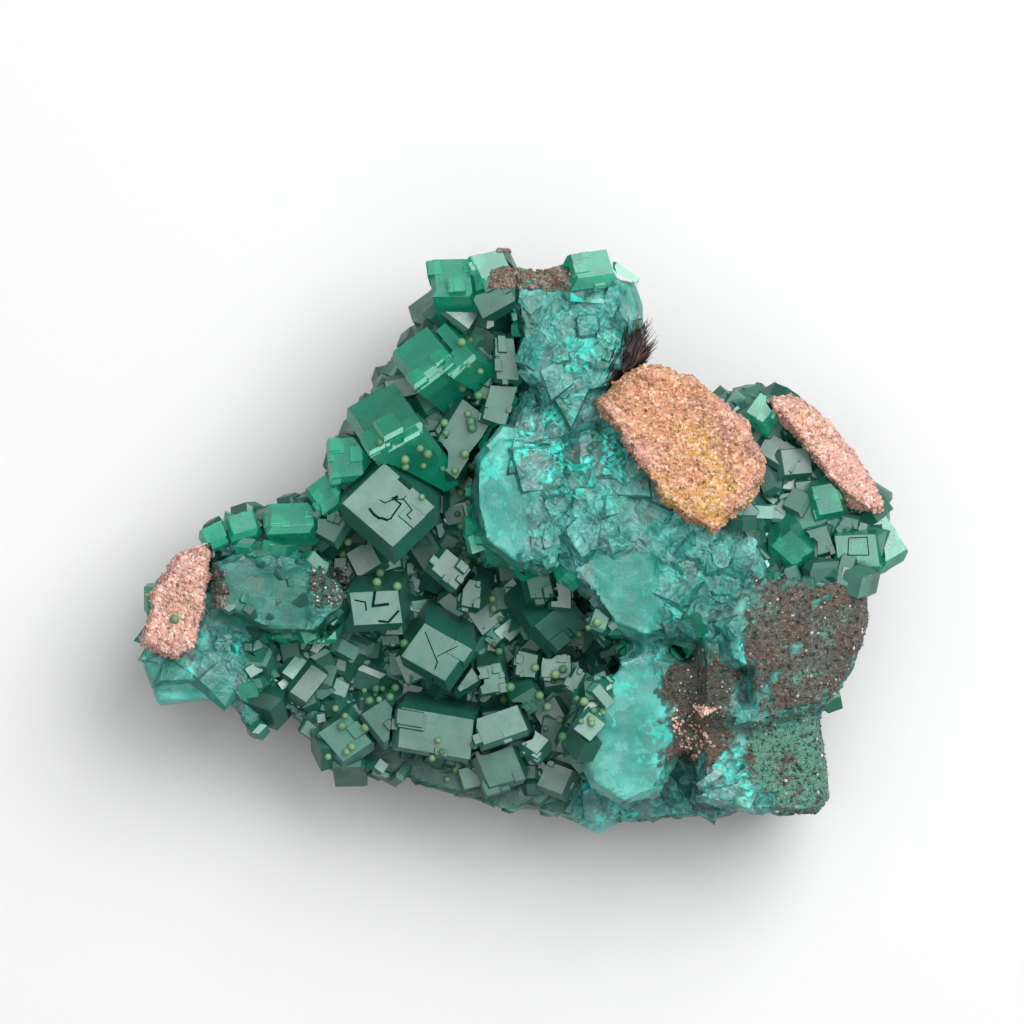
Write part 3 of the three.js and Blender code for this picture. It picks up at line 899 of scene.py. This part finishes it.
# how lit up a crystal is, where it is more than plain
plainTint = 0.25
brightNodes = {
    "rim_lens": 1.0,
    "rim_block_pale": 0.9,
    "rim_block_tall": 0.9,
    "right_green": 0.9,
    "lit_block": 0.9,
    "rim_cube": 0.85,
    "crown_block_left": 0.85,
    "rim_crumb_a": 0.8,
    "rim_crumb_b": 0.8,
    "crown_block_tip": 0.8,
    "rim_block_long": 0.75,
    "rim_cube_small": 0.7,
    "right_turquoise": 0.7,
    "corner_crystal": 0.7,
    "crown_far_block": 0.66,
    "crown_far_step": 0.6,
    "right_prism": 0.6,
    "right_stepped": 0.6,
    "pale_block": 0.5,
    "lower_petal": 0.5,
    "great_rhomb": 0.36,
    "hopper_crystal": 0.36,
    "twin_block": 0.34,
}
# growth marks on the upper faces: a width and a line of points seen from above, in mm
growthMarks = {
    "great_rhomb": [
        (0.26, [(-15.1, 2.7), (-14.7, 2.15), (-14.2, 1.8), (-13.8, 1.75), (-13.4, 1.6)]),
        (0.17, [(-13.4, 1.6), (-13.0, 1.75), (-12.65, 2.3), (-12.2, 2.9), (-12.0, 3.2), (-12.6, 3.6)]),
        (0.12, [(-14.1, 3.6), (-13.6, 3.3), (-12.9, 3.6), (-11.75, 3.7), (-10.9, 2.6)]),
        (0.12, [(-10.9, 2.6), (-11.4, 2.1), (-11, 1.7)]),
        (0.3, [(-12.8, 3.7), (-12.4, 3.9)]),
        (0.08, [(-11.75, 3.7), (-10.5, 4.7)]),
        (0.7, [(-11.9, 5.7), (-11.1, 5.0)]),
    ],
    "hopper_crystal": [
        (0.3, [(-14.65, -5.6), (-14.85, -7.0), (-13.35, -6.8)]),
        (0.16, [(-16.6, -6.4), (-15.6, -6.6), (-15.5, -7.4)]),
        (0.24, [(-12.3, -7.5), (-13.3, -8.6), (-14.2, -8.5)]),
    ],
    "twin_block": [
        (0.12, [(-9.6, -9.6), (-8.4, -12.6), (-8.9, -14.6)]),
        (0.1, [(-8.4, -12.0), (-6.4, -11.0)]),
    ],
    "right_stepped": [
        (0.1, [(32.6, -0.2), (34.4, -0.1), (34.6, -1.9), (32.5, -1.9), (32.6, -0.2)]),
    ],
    "pocket_slab": [
        (0.12, [(-8.6, 12.4), (-8.0, 10.9), (-7.4, 9.8), (-7.6, 8.4)]),
        (0.09, [(-8.0, 10.9), (-9.0, 9.6)]),
    ],
    "pale_block": [(0.09, [(-5.2, -17.2), (-3.6, -16.6), (-2.6, -17.4)])],
    "long_crystal_end": [(0.12, [(-14.6, -17.4), (-12.8, -19.4)])],
}


def eyeAbove(x, y):
    return Vector(((x + offset.x) * mm, (y + offset.y) * mm, eyeHeight))


def lineCutters(crystal, lines):
    # a thin block along each stretch of each line, let into the crystal's upper face
    edit = bmesh.new()
    for width, path in lines:
        for start, end in zip(path, path[1:]):
            ends = []
            for x, y in (start, end):
                found, place, up, _ = crystal.ray_cast(eyeAbove(x, y), down)
                if found:
                    ends.append(place)
            if len(ends) < 2:
                continue
            along = (ends[1] - ends[0]).normalized()
            across = up.cross(along).normalized()
            middle = (ends[0] + ends[1]) / 2
            length = (ends[1] - ends[0]).length + width * mm * 0.8
            frameHere = Matrix((along, across, up)).transposed().to_4x4()
            size = Matrix.Diagonal((length, width * mm, largeCrystal["markDepth"] * 2 * mm, 1))
            placed = Matrix.Translation(middle) @ frameHere @ size
            bmesh.ops.create_cube(edit, size=1, matrix=placed)
    return meshFrom(edit, "cutters")


def addSatellites(edit, rng, count):
    # smaller crystals of the same setting, grown on the upper edges and faces of the large one
    corners = [v.co.copy() for v in edit.verts]
    faces = [[v.index for v in f.verts] for f in edit.faces]
    middle = sum(corners, Vector()) / len(corners)
    top = max(corner.z for corner in corners)
    upper = []
    for edge in edit.edges:
        ends = [v.co.copy() for v in edge.verts]
        if min(end.z for end in ends) > top - 2.6 * mm and edge.calc_length() > 1.2 * mm:
            upper.append(ends)
    for _ in range(count if upper else 0):
        start, end = rng.choice(upper)
        place = start.lerp(end, rng.uniform(0.05, 0.95))
        share = rng.uniform(largeCrystal["smallest"], largeCrystal["largest"])
        sunk = place + (middle - place) * share * rng.uniform(0.5, 1.0)
        made = [edit.verts.new(sunk + (corner - middle) * share) for corner in corners]
        for face in faces:
            edit.faces.new([made[index] for index in face])


def makeCrystal(node, rng):
    mesh, edit = closed(node)
    bmesh.ops.dissolve_limit(edit, angle_limit=0.03, verts=edit.verts, edges=edit.edges)
    edit.verts.index_update()
    addSatellites(edit, rng, 1 if node in growthMarks else largeCrystal["satellites"])
    bevel = largeCrystal["bevel"] * mm
    bmesh.ops.bevel(
        edit, geom=edit.edges, offset=bevel, segments=1, affect="EDGES", clamp_overlap=True
    )
    bmesh.ops.recalc_face_normals(edit, faces=edit.faces)
    edit.to_mesh(mesh)
    edit.free()
    if "custom_normal" in mesh.attributes:
        mesh.attributes.remove(mesh.attributes["custom_normal"])
    mesh.shade_flat()
    # crystals marked lit up get painted light: a lighter green and more sheen, and the brightest the
    # backlit finish with its painted glow
    tint = brightNodes.get(node, plainTint)
    finish = "backlit" if tint > largeCrystal["clear"] else "emerald"
    piece = newObject(node + "_crystal", mesh, materials[finish])
    if node in growthMarks:
        bpy.context.view_layer.update()
        cutter = newObject("cutter", lineCutters(piece, growthMarks[node]), materials["groove"])
        cut = piece.modifiers.new("marks", "BOOLEAN")
        cut.operation = "DIFFERENCE"
        cut.solver = "EXACT"
        cut.use_self = True
        cut.material_mode = "TRANSFER"
        cut.object = cutter
        piece.data = evaluated(piece)
        piece.modifiers.clear()
        bpy.data.objects.remove(cutter)
    storeFloat(piece.data, "tint", np.full(len(piece.data.vertices), tint))
    storeDustAndSheen(piece.data)
    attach(piece, "root")
    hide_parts(node)
    return piece


otherNodes = {"matrix", "needle_tuft", "sand_cap_center", "sand_cap_right", "sand_cap_left"}
rng = random.Random(largeCrystal["seed"])
crystalNodes = sorted(node for node in frame["nodes"] if node not in otherNodes)
for node in crystalNodes:
    makeCrystal(node, rng)
print("large crystals made", len(crystalNodes))


cap = {"voxel": 0.28, "inputs": {"Lump": 1.0, "Grain": 0.6}}


def capTree(material):
    tree, graph, given = geometryTree("sandyCap", cap["inputs"])
    position = graph.positionInMm()
    lump = graph.noise(position, 0.45, 3, 0.6) - 0.5
    grain = graph.noise(position, 1.9, 3, 0.7) - 0.5
    amount = lump * given["Lump"] * 2 + grain * given["Grain"] * 2
    graph.endTree(graph.pushed(given["Geometry"], amount), material)
    return tree


def makeCap(node, finish):
    piece = finePiece(node + "_sand", node, cap["voxel"])
    storeFloat(piece.data, "tint", np.zeros(len(piece.data.vertices)))
    piece.data.materials.clear()
    runTree(piece, capTree(materials[finish]), cap["inputs"])
    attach(piece, "root")
    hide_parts(node)
    return piece


capFinishes = {"sand_cap_center": "sand", "sand_cap_right": "pinkSand", "sand_cap_left": "pinkSand"}
capPieces = {node: makeCap(node, finish) for node, finish in capFinishes.items()}
print("sandy caps made")


def prototypes(name, meshes):
    collection = bpy.data.collections.new(name)
    bpy.context.scene.collection.children.link(collection)
    for index, mesh in enumerate(meshes):
        collection.objects.link(bpy.data.objects.new(f"{name}{index}", mesh))
    return collection


fullTurn = 6.283
smallBias = 2.2  # above 1, most of what is scattered is small
sweepDirection = (0.26, 0.9, 0.35)  # the way that needles are combed


def scatterTree(name, collection, material, inputs):
    # stands shapes from a collection on a surface, thick where its density attribute is
    tree, graph, given = geometryTree(name, inputs)
    seed = given["Seed"]
    spread = graph.add(
        "GeometryNodeDistributePointsOnFaces",
        {"distribute_method": "POISSON"},
        {
            "Mesh": given["Geometry"],
            "Distance Min": given["Spacing"] * mm,
            "Density Max": given["Most per mm2"] * (1 / mm / mm),
            "Density Factor": graph.stored("density"),
            "Seed": seed,
        },
    )
    picked = {"Collection": collection, "Separate Children": True, "Reset Children": True}
    shapesHere = graph.add("GeometryNodeCollectionInfo", {}, picked)
    lean = graph.add(
        "FunctionNodeRandomValue",
        {"data_type": "FLOAT_VECTOR"},
        {"Min": (-1.0, -1.0, -1.0), "Max": (1.0, 1.0, 1.0), "Seed": seed},
    ).out(0)
    leaning = graph.vector("SCALE", lean, scale=given["Lean"])
    direction = graph.vector("ADD", spread.out("Normal"), leaning)
    if "Sweep" in given:
        swept = graph.vector("SCALE", sweepDirection, scale=given["Sweep"])
        direction = graph.vector("ADD", direction, swept)
    aligned = graph.add("FunctionNodeAlignRotationToVector", {"axis": "Z"}, {"Vector": direction})
    around = {"Axis": (0.0, 0.0, 1.0), "Angle": graph.random(seed + 1, 0.0, fullTurn)}
    spin = graph.add("FunctionNodeAxisAngleToRotation", {}, around)
    turned = graph.add("FunctionNodeRotateRotation", {"rotation_space": "LOCAL"}, {0: aligned, 1: spin})
    mostlySmall = graph.random(seed + 2).math("POWER", smallBias)
    size = between(given["Smallest"], given["Largest"], mostlySmall)
    standing = graph.add(
        "GeometryNodeInstanceOnPoints",
        {},
        {
            "Points": spread.out("Points"),
            "Instance": shapesHere,
            "Pick Instance": True,
            "Rotation": turned,
            "Scale": size * mm,
        },
    )
    shade = between(given["Tint low"], given["Tint high"], graph.random(seed + 3))
    real = graph.add("GeometryNodeRealizeInstances", {}, {0: graph.tinted(standing, shade)})
    graph.endTree(real, material)
    return tree


dustAndSheenShares = {"arm_shards": 0.15}


def scatter(name, surface, density, collection, material, inputs, slotName):
    # scatters shapes over a surface and keeps only them, as one piece
    work = newObject(name, surface.data.copy())
    storeFloat(work.data, "density", density)
    runTree(work, scatterTree(name + "Tree", collection, material, inputs), inputs)
    for layer in [a.name for a in work.data.attributes if a.name in ("zone", "density")]:
        work.data.attributes.remove(work.data.attributes[layer])
    if slotName == "emerald_crystal":
        storeDustAndSheen(work.data, dustAndSheenShares.get(name, 1.0))
    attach(work, "root")
    print(name, len(work.data.polygons))
    return work


def shardMesh(name, seed):
    # a flat chip of cleaved stone: slanted tops, steep broken sides
    pick = random.Random(seed)
    planes = [(np.array((0, 0, -1.0)), 0.35)]
    for _ in range(3):
        slant, turn = math.radians(pick.uniform(2, 17)), pick.uniform(0, 2 * math.pi)
        flat = math.sin(slant)
        up = np.array((flat * math.cos(turn), flat * math.sin(turn), math.cos(slant)))
        planes.append((up, pick.uniform(0.05, 0.13)))
    sides = pick.choice((4, 5, 6))
    for index in range(sides):
        turn = (index + pick.uniform(-0.3, 0.3)) * 2 * math.pi / sides
        rise = math.radians(pick.uniform(5, 40))
        flat = math.cos(rise)
        out = np.array((flat * math.cos(turn), flat * math.sin(turn), math.sin(rise)))
        planes.append((out, pick.uniform(0.34, 0.55)))
    return planesMesh(name, planes)


def lumpMesh(name, seed):
    pick = random.Random(seed)
    edit = bmesh.new()
    bmesh.ops.create_icosphere(edit, subdivisions=1, radius=0.5)
    for vert in edit.verts:
        vert.co *= pick.uniform(0.75, 1.2)
    return meshFrom(edit, name)


def spineMesh(name):
    edit = bmesh.new()
    bmesh.ops.create_cone(edit, cap_ends=True, segments=4, radius1=0.03, radius2=0.008, depth=1.0)
    bmesh.ops.translate(edit, verts=edit.verts, vec=(0, 0, 0.45))
    return meshFrom(edit, name)


def ballMesh(name):
    edit = bmesh.new()
    bmesh.ops.create_icosphere(edit, subdivisions=2, radius=0.5)
    return meshFrom(edit, name)


druseShapes = [  # size and bluntness
    ((1.0, 1.0, 1.0), 0.8),
    ((1.5, 1.0, 0.9), 0.86),
    ((1.3, 1.2, 1.2), 0.74),
    ((0.9, 1.3, 1.0), 0.9),
    ((1.6, 1.4, 0.8), 0.82),
]
shapes = {
    "crystal": prototypes("druseShape", [crystalMesh("druse", *shape) for shape in druseShapes]),
    "shard": prototypes("shardShape", [shardMesh("shardShape", seed) for seed in range(9)]),
    "lump": prototypes("lumpShape", [lumpMesh("lumpShape", seed) for seed in range(4)]),
    "spine": prototypes("spineShape", [spineMesh("spineShape")]),
}

# where on the stone each kind of small piece grows, from 0 to 1
where = points(stonePiece.data)
x, y, z = where[:, 0], where[:, 1], where[:, 2]
facing = normals(stonePiece.data)
inPocket = np.maximum(depthInside(where, pocketOutline), depthInside(where, rightPocketOutline))
pocketMask = soft(inPocket, -0.5, 0.8) * soft(z, 9, 12) * soft(facing[:, 2], -0.2, 0.3)
zoneFlat = np.zeros(len(where) * 4, np.float32)
stonePiece.data.attributes["zone"].data.foreach_get("color", zoneFlat)
crustMask = zoneFlat.reshape(-1, 4)[:, 1]
smoothMask = inAny(where, smoothOutlines, 0, -0.8, 0.8)
bareMask = np.maximum(inAny(where, bareOutlines, 0, -0.4, 0.2), inAny(where, pitOutlines, 0, -1, 0))
nearCrust = inAny(where, crustOutlines, 0, -1.0, -0.2) * soft(z, 12, 14)
clumps = soft(noiseAt(where, 0.2, 4), -0.15, 0.25)
brokenMask = soft(-inPocket, -0.4, 0.6) * (1 - crustMask) * soft(z, 4, 9)
brokenMask *= (1 - smoothMask) * (1 - bareMask) * (1 - nearCrust) * soft(facing[:, 2], 0.2, 0.7)
armMask = inAny(where, [armOutline], 0, -0.5, 0.5) * soft(facing[:, 2], 0.0, 0.5)
brokenMask *= (1 - armMask) * soft(y, -29.0, -26.5)
sideMask = soft(z, 3, 9) * soft(-facing[:, 2], -0.35, 0.0) * (1 - crustMask)
sideMask *= soft(noiseAt(where, 0.12), -0.1, 0.3) * (1 - bareMask)
# the pocket's lower sill is bare
sill = inAny(where, [sillOutline], 0, -1.5, 0.3)
sideMask *= 1 - sill
pocketMask *= 1 - sill
# the lower right edge is broken stone with no crystals on its side
sideMask *= 1 - soft(x, -4, 2) * soft(-y, 18, 22)

druse = {
    "big": {
        "Spacing": 1.3, "Most per mm2": 0.45, "Seed": 7, "Lean": 0.34,
        "Smallest": 1.3, "Largest": 3.5, "Tint low": 0.06, "Tint high": 0.5,
    },
    "small": {
        "Spacing": 0.6, "Most per mm2": 1.6, "Seed": 11, "Lean": 0.45,
        "Smallest": 0.7, "Largest": 2.4, "Tint low": 0.1, "Tint high": 0.7,
    },
    "sides": {
        "Spacing": 1.2, "Most per mm2": 0.5, "Seed": 31, "Lean": 0.5,
        "Smallest": 0.8, "Largest": 2.2, "Tint low": 0.2, "Tint high": 0.9,
    },
}
shards = {
    "large": {
        "Spacing": 1.25, "Most per mm2": 0.6, "Seed": 24, "Lean": 0.22,
        "Smallest": 1.2, "Largest": 4.0, "Tint low": 0.0, "Tint high": 1.0,
    },
    "small": {
        "Spacing": 0.8, "Most per mm2": 0.9, "Seed": 22, "Lean": 0.3,
        "Smallest": 0.6, "Largest": 2.2, "Tint low": 0.0, "Tint high": 1.0,
    },
    "arm": {
        "Spacing": 1.5, "Most per mm2": 0.4, "Seed": 23, "Lean": 0.4,
        "Smallest": 0.7, "Largest": 2.4, "Tint low": 0.0, "Tint high": 0.6,
    },
}
grains = {
    "cap": {
        "Spacing": 0.24, "Most per mm2": 8.0, "Seed": 41, "Lean": 0.5,
        "Smallest": 0.14, "Largest": 0.46, "Tint low": 0.0, "Tint high": 1.0,
    },
    "crust": {
        "Spacing": 0.34, "Most per mm2": 4.5, "Seed": 42, "Lean": 0.5,
        "Smallest": 0.12, "Largest": 0.42, "Tint low": 0.0, "Tint high": 1.0,
    },
}
needles = {
    "Spacing": 0.22, "Most per mm2": 20.0, "Seed": 51, "Lean": 0.45, "Sweep": 2.6,
    "Smallest": 1.0, "Largest": 2.6, "Tint low": 0.0, "Tint high": 1.0,
}
stoneScatters = {
    "pocket_druse_big": (pocketMask, "crystal", "emerald", druse["big"], "emerald_crystal"),
    "pocket_druse_small": (pocketMask, "crystal", "emerald", druse["small"], "emerald_crystal"),
    "side_druse": (sideMask, "crystal", "backlit", druse["sides"], "emerald_crystal"),
    "cleaved_shards": (brokenMask, "shard", "shard", shards["large"], "matrix_rock"),
    "cleaved_chips": (brokenMask * clumps, "shard", "shard", shards["small"], "matrix_rock"),
    "arm_shards": (armMask, "shard", "emerald", shards["arm"], "emerald_crystal"),
    "crust_grains": (crustMask, "lump", "crust", grains["crust"], "matrix_rock"),
}
for name, (mask, shape, finish, inputs, slotName) in stoneScatters.items():
    scatter(name, stonePiece, mask, shapes[shape], materials[finish], inputs, slotName)
for node, piece in capPieces.items():
    everywhere = np.ones(len(piece.data.vertices))
    finish = materials[capFinishes[node]]
    name = piece.name + "_grains"
    scatter(name, piece, everywhere, shapes["lump"], finish, grains["cap"], "sandy_rock")


def makeNeedles():
    # the tuft's dark core, needles over it and a spray of them on the stone at its foot
    tuft = finePiece("tuftCore", "needle_tuft", 0.3)
    where = points(tuft.data)
    inner = soft(21.4 - where[:, 1], 0, 2.0) * soft(12.2 - where[:, 0], 0, 0.8)
    spine, finish = shapes["spine"], materials["needle"]
    scatter("dark_needles", tuft, inner, spine, finish, needles, "dark_needles")
    foot = inAny(points(stonePiece.data), [tuftOutline], 0, -0.2, 0.5)
    foot *= soft(facing[:, 2], -0.1, 0.4)
    scatter("needle_spray", stonePiece, foot, spine, finish, needles, "dark_needles")
    tuft.name = "needle_core"
    tuft.data.materials.clear()
    tuft.data.materials.append(materials["needle"])
    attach(tuft, "root")
    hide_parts("needle_tuft")


makeNeedles()

# little green balls, seen from above, in mm
ballPlaces = [
    (-17.8, -1.7), (-14.2, -4), (-12.4, -5.3), (-9.9, 3.9), (-9.9, 7.2), (-11.7, 7.8),
    (-11.7, 7.1), (-10.2, 8.9), (-8, 6.9), (-6.6, 6.5), (-14, 9.1), (-5, 19.6),
    (-5.3, 16.9), (-6, 15), (-4.2, 14), (-7.5, 11.2), (-7.5, 10.3), (-5.3, 12.2),
    (-5, 11.4), (-4.9, 10.8), (-4.4, -2.4), (-5.9, -1.2), (-5.7, -1.7), (-2.7, -7.3),
    (-3.2, -6.3), (-2.7, -11), (-2.2, -11.9), (-1.4, -15.2), (-1.7, -16.4), (1.4, -13.2),
    (3.4, -13.9), (3.2, -14.6), (5.7, -9.7), (6.7, -9), (6, -11.1), (2.5, -16.9),
    (5.8, -16.2), (6.4, -16.3), (7, -17.5), (5.9, -18.4), (4.1, -18.5), (6.9, -18.2),
    (2.4, -19.3), (4.3, -20), (-17.7, -18), (-18, -19), (-15.8, -19.3), (-17, -21.1),
    (-17.5, -21.6), (-14.6, -15.4), (-13.8, -15.6), (-15.1, -16.8), (-14.1, -16.6), (-13.4, -16.3),
    (-12.9, -15.4), (-11.5, -10.9), (-5, -20.9), (-8, -21.6), (-8.9, -22), (-5.4, -22.5),
    (-6.6, -23.5), (-7.5, -24.5), (-19.5, -22), (-34.7, -8.1), (-6.2, 4.4), (-6.4, 2.2),
    (-5.8, 1), (-5.2, 3.2), (-6, 5.6), (-5.6, 8.2),
]
balls = {
    "smallest": 0.55,
    "largest": 1.0,
    "chance": 0.25,  # of a second ball beside one
    "nearest": 0.9,
    "furthest": 1.3,
    "lift": 0.28,
    "seed": 8,
}
seatSeeds = {"size": 3, "tint": 5}


def seatedTree(collection, material):
    # a shape on each point
    tree, graph, given = geometryTree("seatedShapes", {"Smallest": 0.7, "Largest": 1.0})
    picked = {"Collection": collection, "Separate Children": True}
    shapesHere = graph.add("GeometryNodeCollectionInfo", {}, picked)
    size = between(given["Smallest"], given["Largest"], graph.random(seatSeeds["size"]))
    standing = graph.add(
        "GeometryNodeInstanceOnPoints",
        {},
        {
            "Points": given["Geometry"],
            "Instance": shapesHere,
            "Pick Instance": True,
            "Scale": size * mm,
        },
    )
    tinted = graph.tinted(standing, graph.random(seatSeeds["tint"]))
    real = graph.add("GeometryNodeRealizeInstances", {}, {0: tinted})
    smooth = graph.add("GeometryNodeSetShadeSmooth", {}, {0: real, 2: True})
    graph.endTree(smooth, material)
    return tree


def castDown(depsgraph, x, y):
    found, place, normal, *_ = bpy.context.scene.ray_cast(depsgraph, eyeAbove(x, y), down)
    return (place, normal) if found and place.z > lowestSeat else None


def seatedPiece(name, seats, meshes, material, smallest, largest):
    # one shape from a few on each seat, as one piece
    mesh = bpy.data.meshes.new(name)
    mesh.from_pydata(seats, [], [])
    piece = newObject(name, mesh)
    collection = prototypes(name + "Shape", meshes)
    tree = seatedTree(collection, material)
    runTree(piece, tree, {"Smallest": smallest, "Largest": largest})
    dropPrototypes(collection)
    return piece


def makeBalls():
    rng = random.Random(balls["seed"])
    bpy.context.view_layer.update()
    depsgraph = bpy.context.evaluated_depsgraph_get()
    spots = []
    for x, y in ballPlaces:
        spots.append((x, y))
        turn = rng.uniform(0, 2 * math.pi)
        away = rng.uniform(balls["nearest"], balls["furthest"])
        if rng.random() < balls["chance"]:
            spots.append((x + away * math.cos(turn), y + away * math.sin(turn)))
    seats = []
    for x, y in spots:
        hit = castDown(depsgraph, x, y)
        if hit:
            seats.append(hit[0] + hit[1] * balls["lift"] * mm)
    smallest, largest = balls["smallest"], balls["largest"]
    meshes = [ballMesh("ballShape")]
    piece = seatedPiece("green_balls", seats, meshes, materials["ball"], smallest, largest)
    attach(piece, "root")
    print("green balls made", len(seats))


def dropPrototypes(collection):
    for obj in list(collection.objects):
        bpy.data.objects.remove(obj)
    bpy.data.collections.remove(collection)


# sandy or dark grains lying in small patches, on whatever is uppermost there
grainPatches = {
    "crown_sand": {
        "material": "darkSand", "count": 2200, "seed": 61, "smallest": 0.15, "largest": 0.42,
        "outlines": [
            [(-3.2, 24.6), (4.6, 24.3), (4.9, 26.2), (2.4, 27.2), (-3, 26.4)],
            [(-2.4, 28.2), (-0.4, 28.4), (-0.5, 29.1), (-2.2, 29.2)],
        ],
    },
    "arm_sand": {
        "material": "darkSand", "count": 200, "seed": 62, "smallest": 0.14, "largest": 0.42,
        "outlines": [[(-31, -3.4), (-29.6, -3.4), (-29.2, -7.2), (-31, -7.2)]],
    },
    "arm_dark_grains": {
        "material": "crust", "count": 300, "seed": 63, "smallest": 0.12, "largest": 0.42,
        "outlines": [[(-21.2, -3.2), (-17.6, -3.2), (-17.2, -7), (-20.6, -7.2)]],
    },
    "rust_grains": {
        "material": "pinkSand", "count": 190, "seed": 64, "smallest": 0.15, "largest": 0.45,
        "outlines": [
            [(15, -17), (17.6, -18.4), (19.2, -21), (17.4, -22.4), (15.2, -20.4)],
            [(17, -16.8), (19.4, -17.2), (18, -18)],
        ],
    },
}


def makePatch(name, settings):
    rng = random.Random(settings["seed"])
    bpy.context.view_layer.update()
    depsgraph = bpy.context.evaluated_depsgraph_get()
    seats = []
    for _ in range(settings["count"]):
        outline = rng.choice(settings["outlines"])
        corners = rng.sample(outline, 3)
        weights = [-math.log(rng.random() + 1e-9) for _ in corners]
        total = sum(weights)
        x, y = (sum(w * c[axis] for w, c in zip(weights, corners)) / total for axis in (0, 1))
        hit = castDown(depsgraph, x, y)
        if hit:
            seats.append(hit[0])
    meshes = [lumpMesh("grainShape", seed) for seed in range(4)]
    smallest, largest = settings["smallest"], settings["largest"]
    finish = materials[settings["material"]]
    piece = seatedPiece(name, seats, meshes, finish, smallest, largest)
    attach(piece, "root")
    print(name, len(seats))


for collection in shapes.values():
    dropPrototypes(collection)
makeBalls()
for name, settings in grainPatches.items():
    makePatch(name, settings)


studio = {
    "centre": (-1.12, 2.63),  # the camera looks straight down here, in mm
    "height": 900,
    "across": 102.4,  # the width in view at the focus height
    "focus": 20,
    "floor": (0.58, 0.58, 0.58),
    "floorHalf": 2.5,
    "floorDrop": 0.0005,
    "top": {"place": (0.07, 0.09, 1.0), "side": 1.2, "power": 10.8},
    "key": {"place": (0.34, 0.34, 0.62), "side": 0.6, "power": 7.4},
    "world": 0.19,
}


def softbox(name, settings):
    light = bpy.data.lights.new(name, "AREA")
    light.shape = "SQUARE"
    light.size = settings["side"]
    light.energy = settings["power"]
    lamp = newObject(name, light)
    lamp.location = settings["place"]
    lamp.rotation_euler = (-lamp.location).to_track_quat("-Z", "Y").to_euler()


def makeStudio():
    floorMesh = bpy.data.meshes.new("floor")
    half = studio["floorHalf"]
    corners = [(-half, -half, 0), (half, -half, 0), (half, half, 0), (-half, half, 0)]
    floorMesh.from_pydata(corners, [], [(0, 1, 2, 3)])
    material = bpy.data.materials.new("paleFloor")
    material.use_nodes = True
    shader = material.node_tree.nodes["Principled BSDF"]
    shader.inputs["Base Color"].default_value = (*studio["floor"], 1)
    shader.inputs["Roughness"].default_value = 0.9
    shader.inputs["Specular IOR Level"].default_value = 0.1
    floor = newObject("floor", floorMesh, material)
    floor.location.z = -studio["floorDrop"]

    softbox("topSoftbox", studio["top"])
    softbox("keySoftbox", studio["key"])
    world = bpy.data.worlds.new("studio")
    world.use_nodes = True
    background = world.node_tree.nodes["Background"]
    background.inputs["Color"].default_value = (1, 1, 1, 1)
    background.inputs["Strength"].default_value = studio["world"]
    bpy.context.scene.world = world
    lens = bpy.data.cameras.new("camera")
    camera = newObject("camera", lens)
    camera.location = Vector((*studio["centre"], studio["height"])) * mm
    camera.rotation_euler = (0, 0, 0)
    lens.sensor_fit = "HORIZONTAL"
    lens.angle = 2 * math.atan(studio["across"] / 2 / (studio["height"] - studio["focus"]))
    lens.clip_start = 0.01
    bpy.context.scene.camera = camera
    bpy.context.scene.view_settings.view_transform = "Standard"


makeStudio()
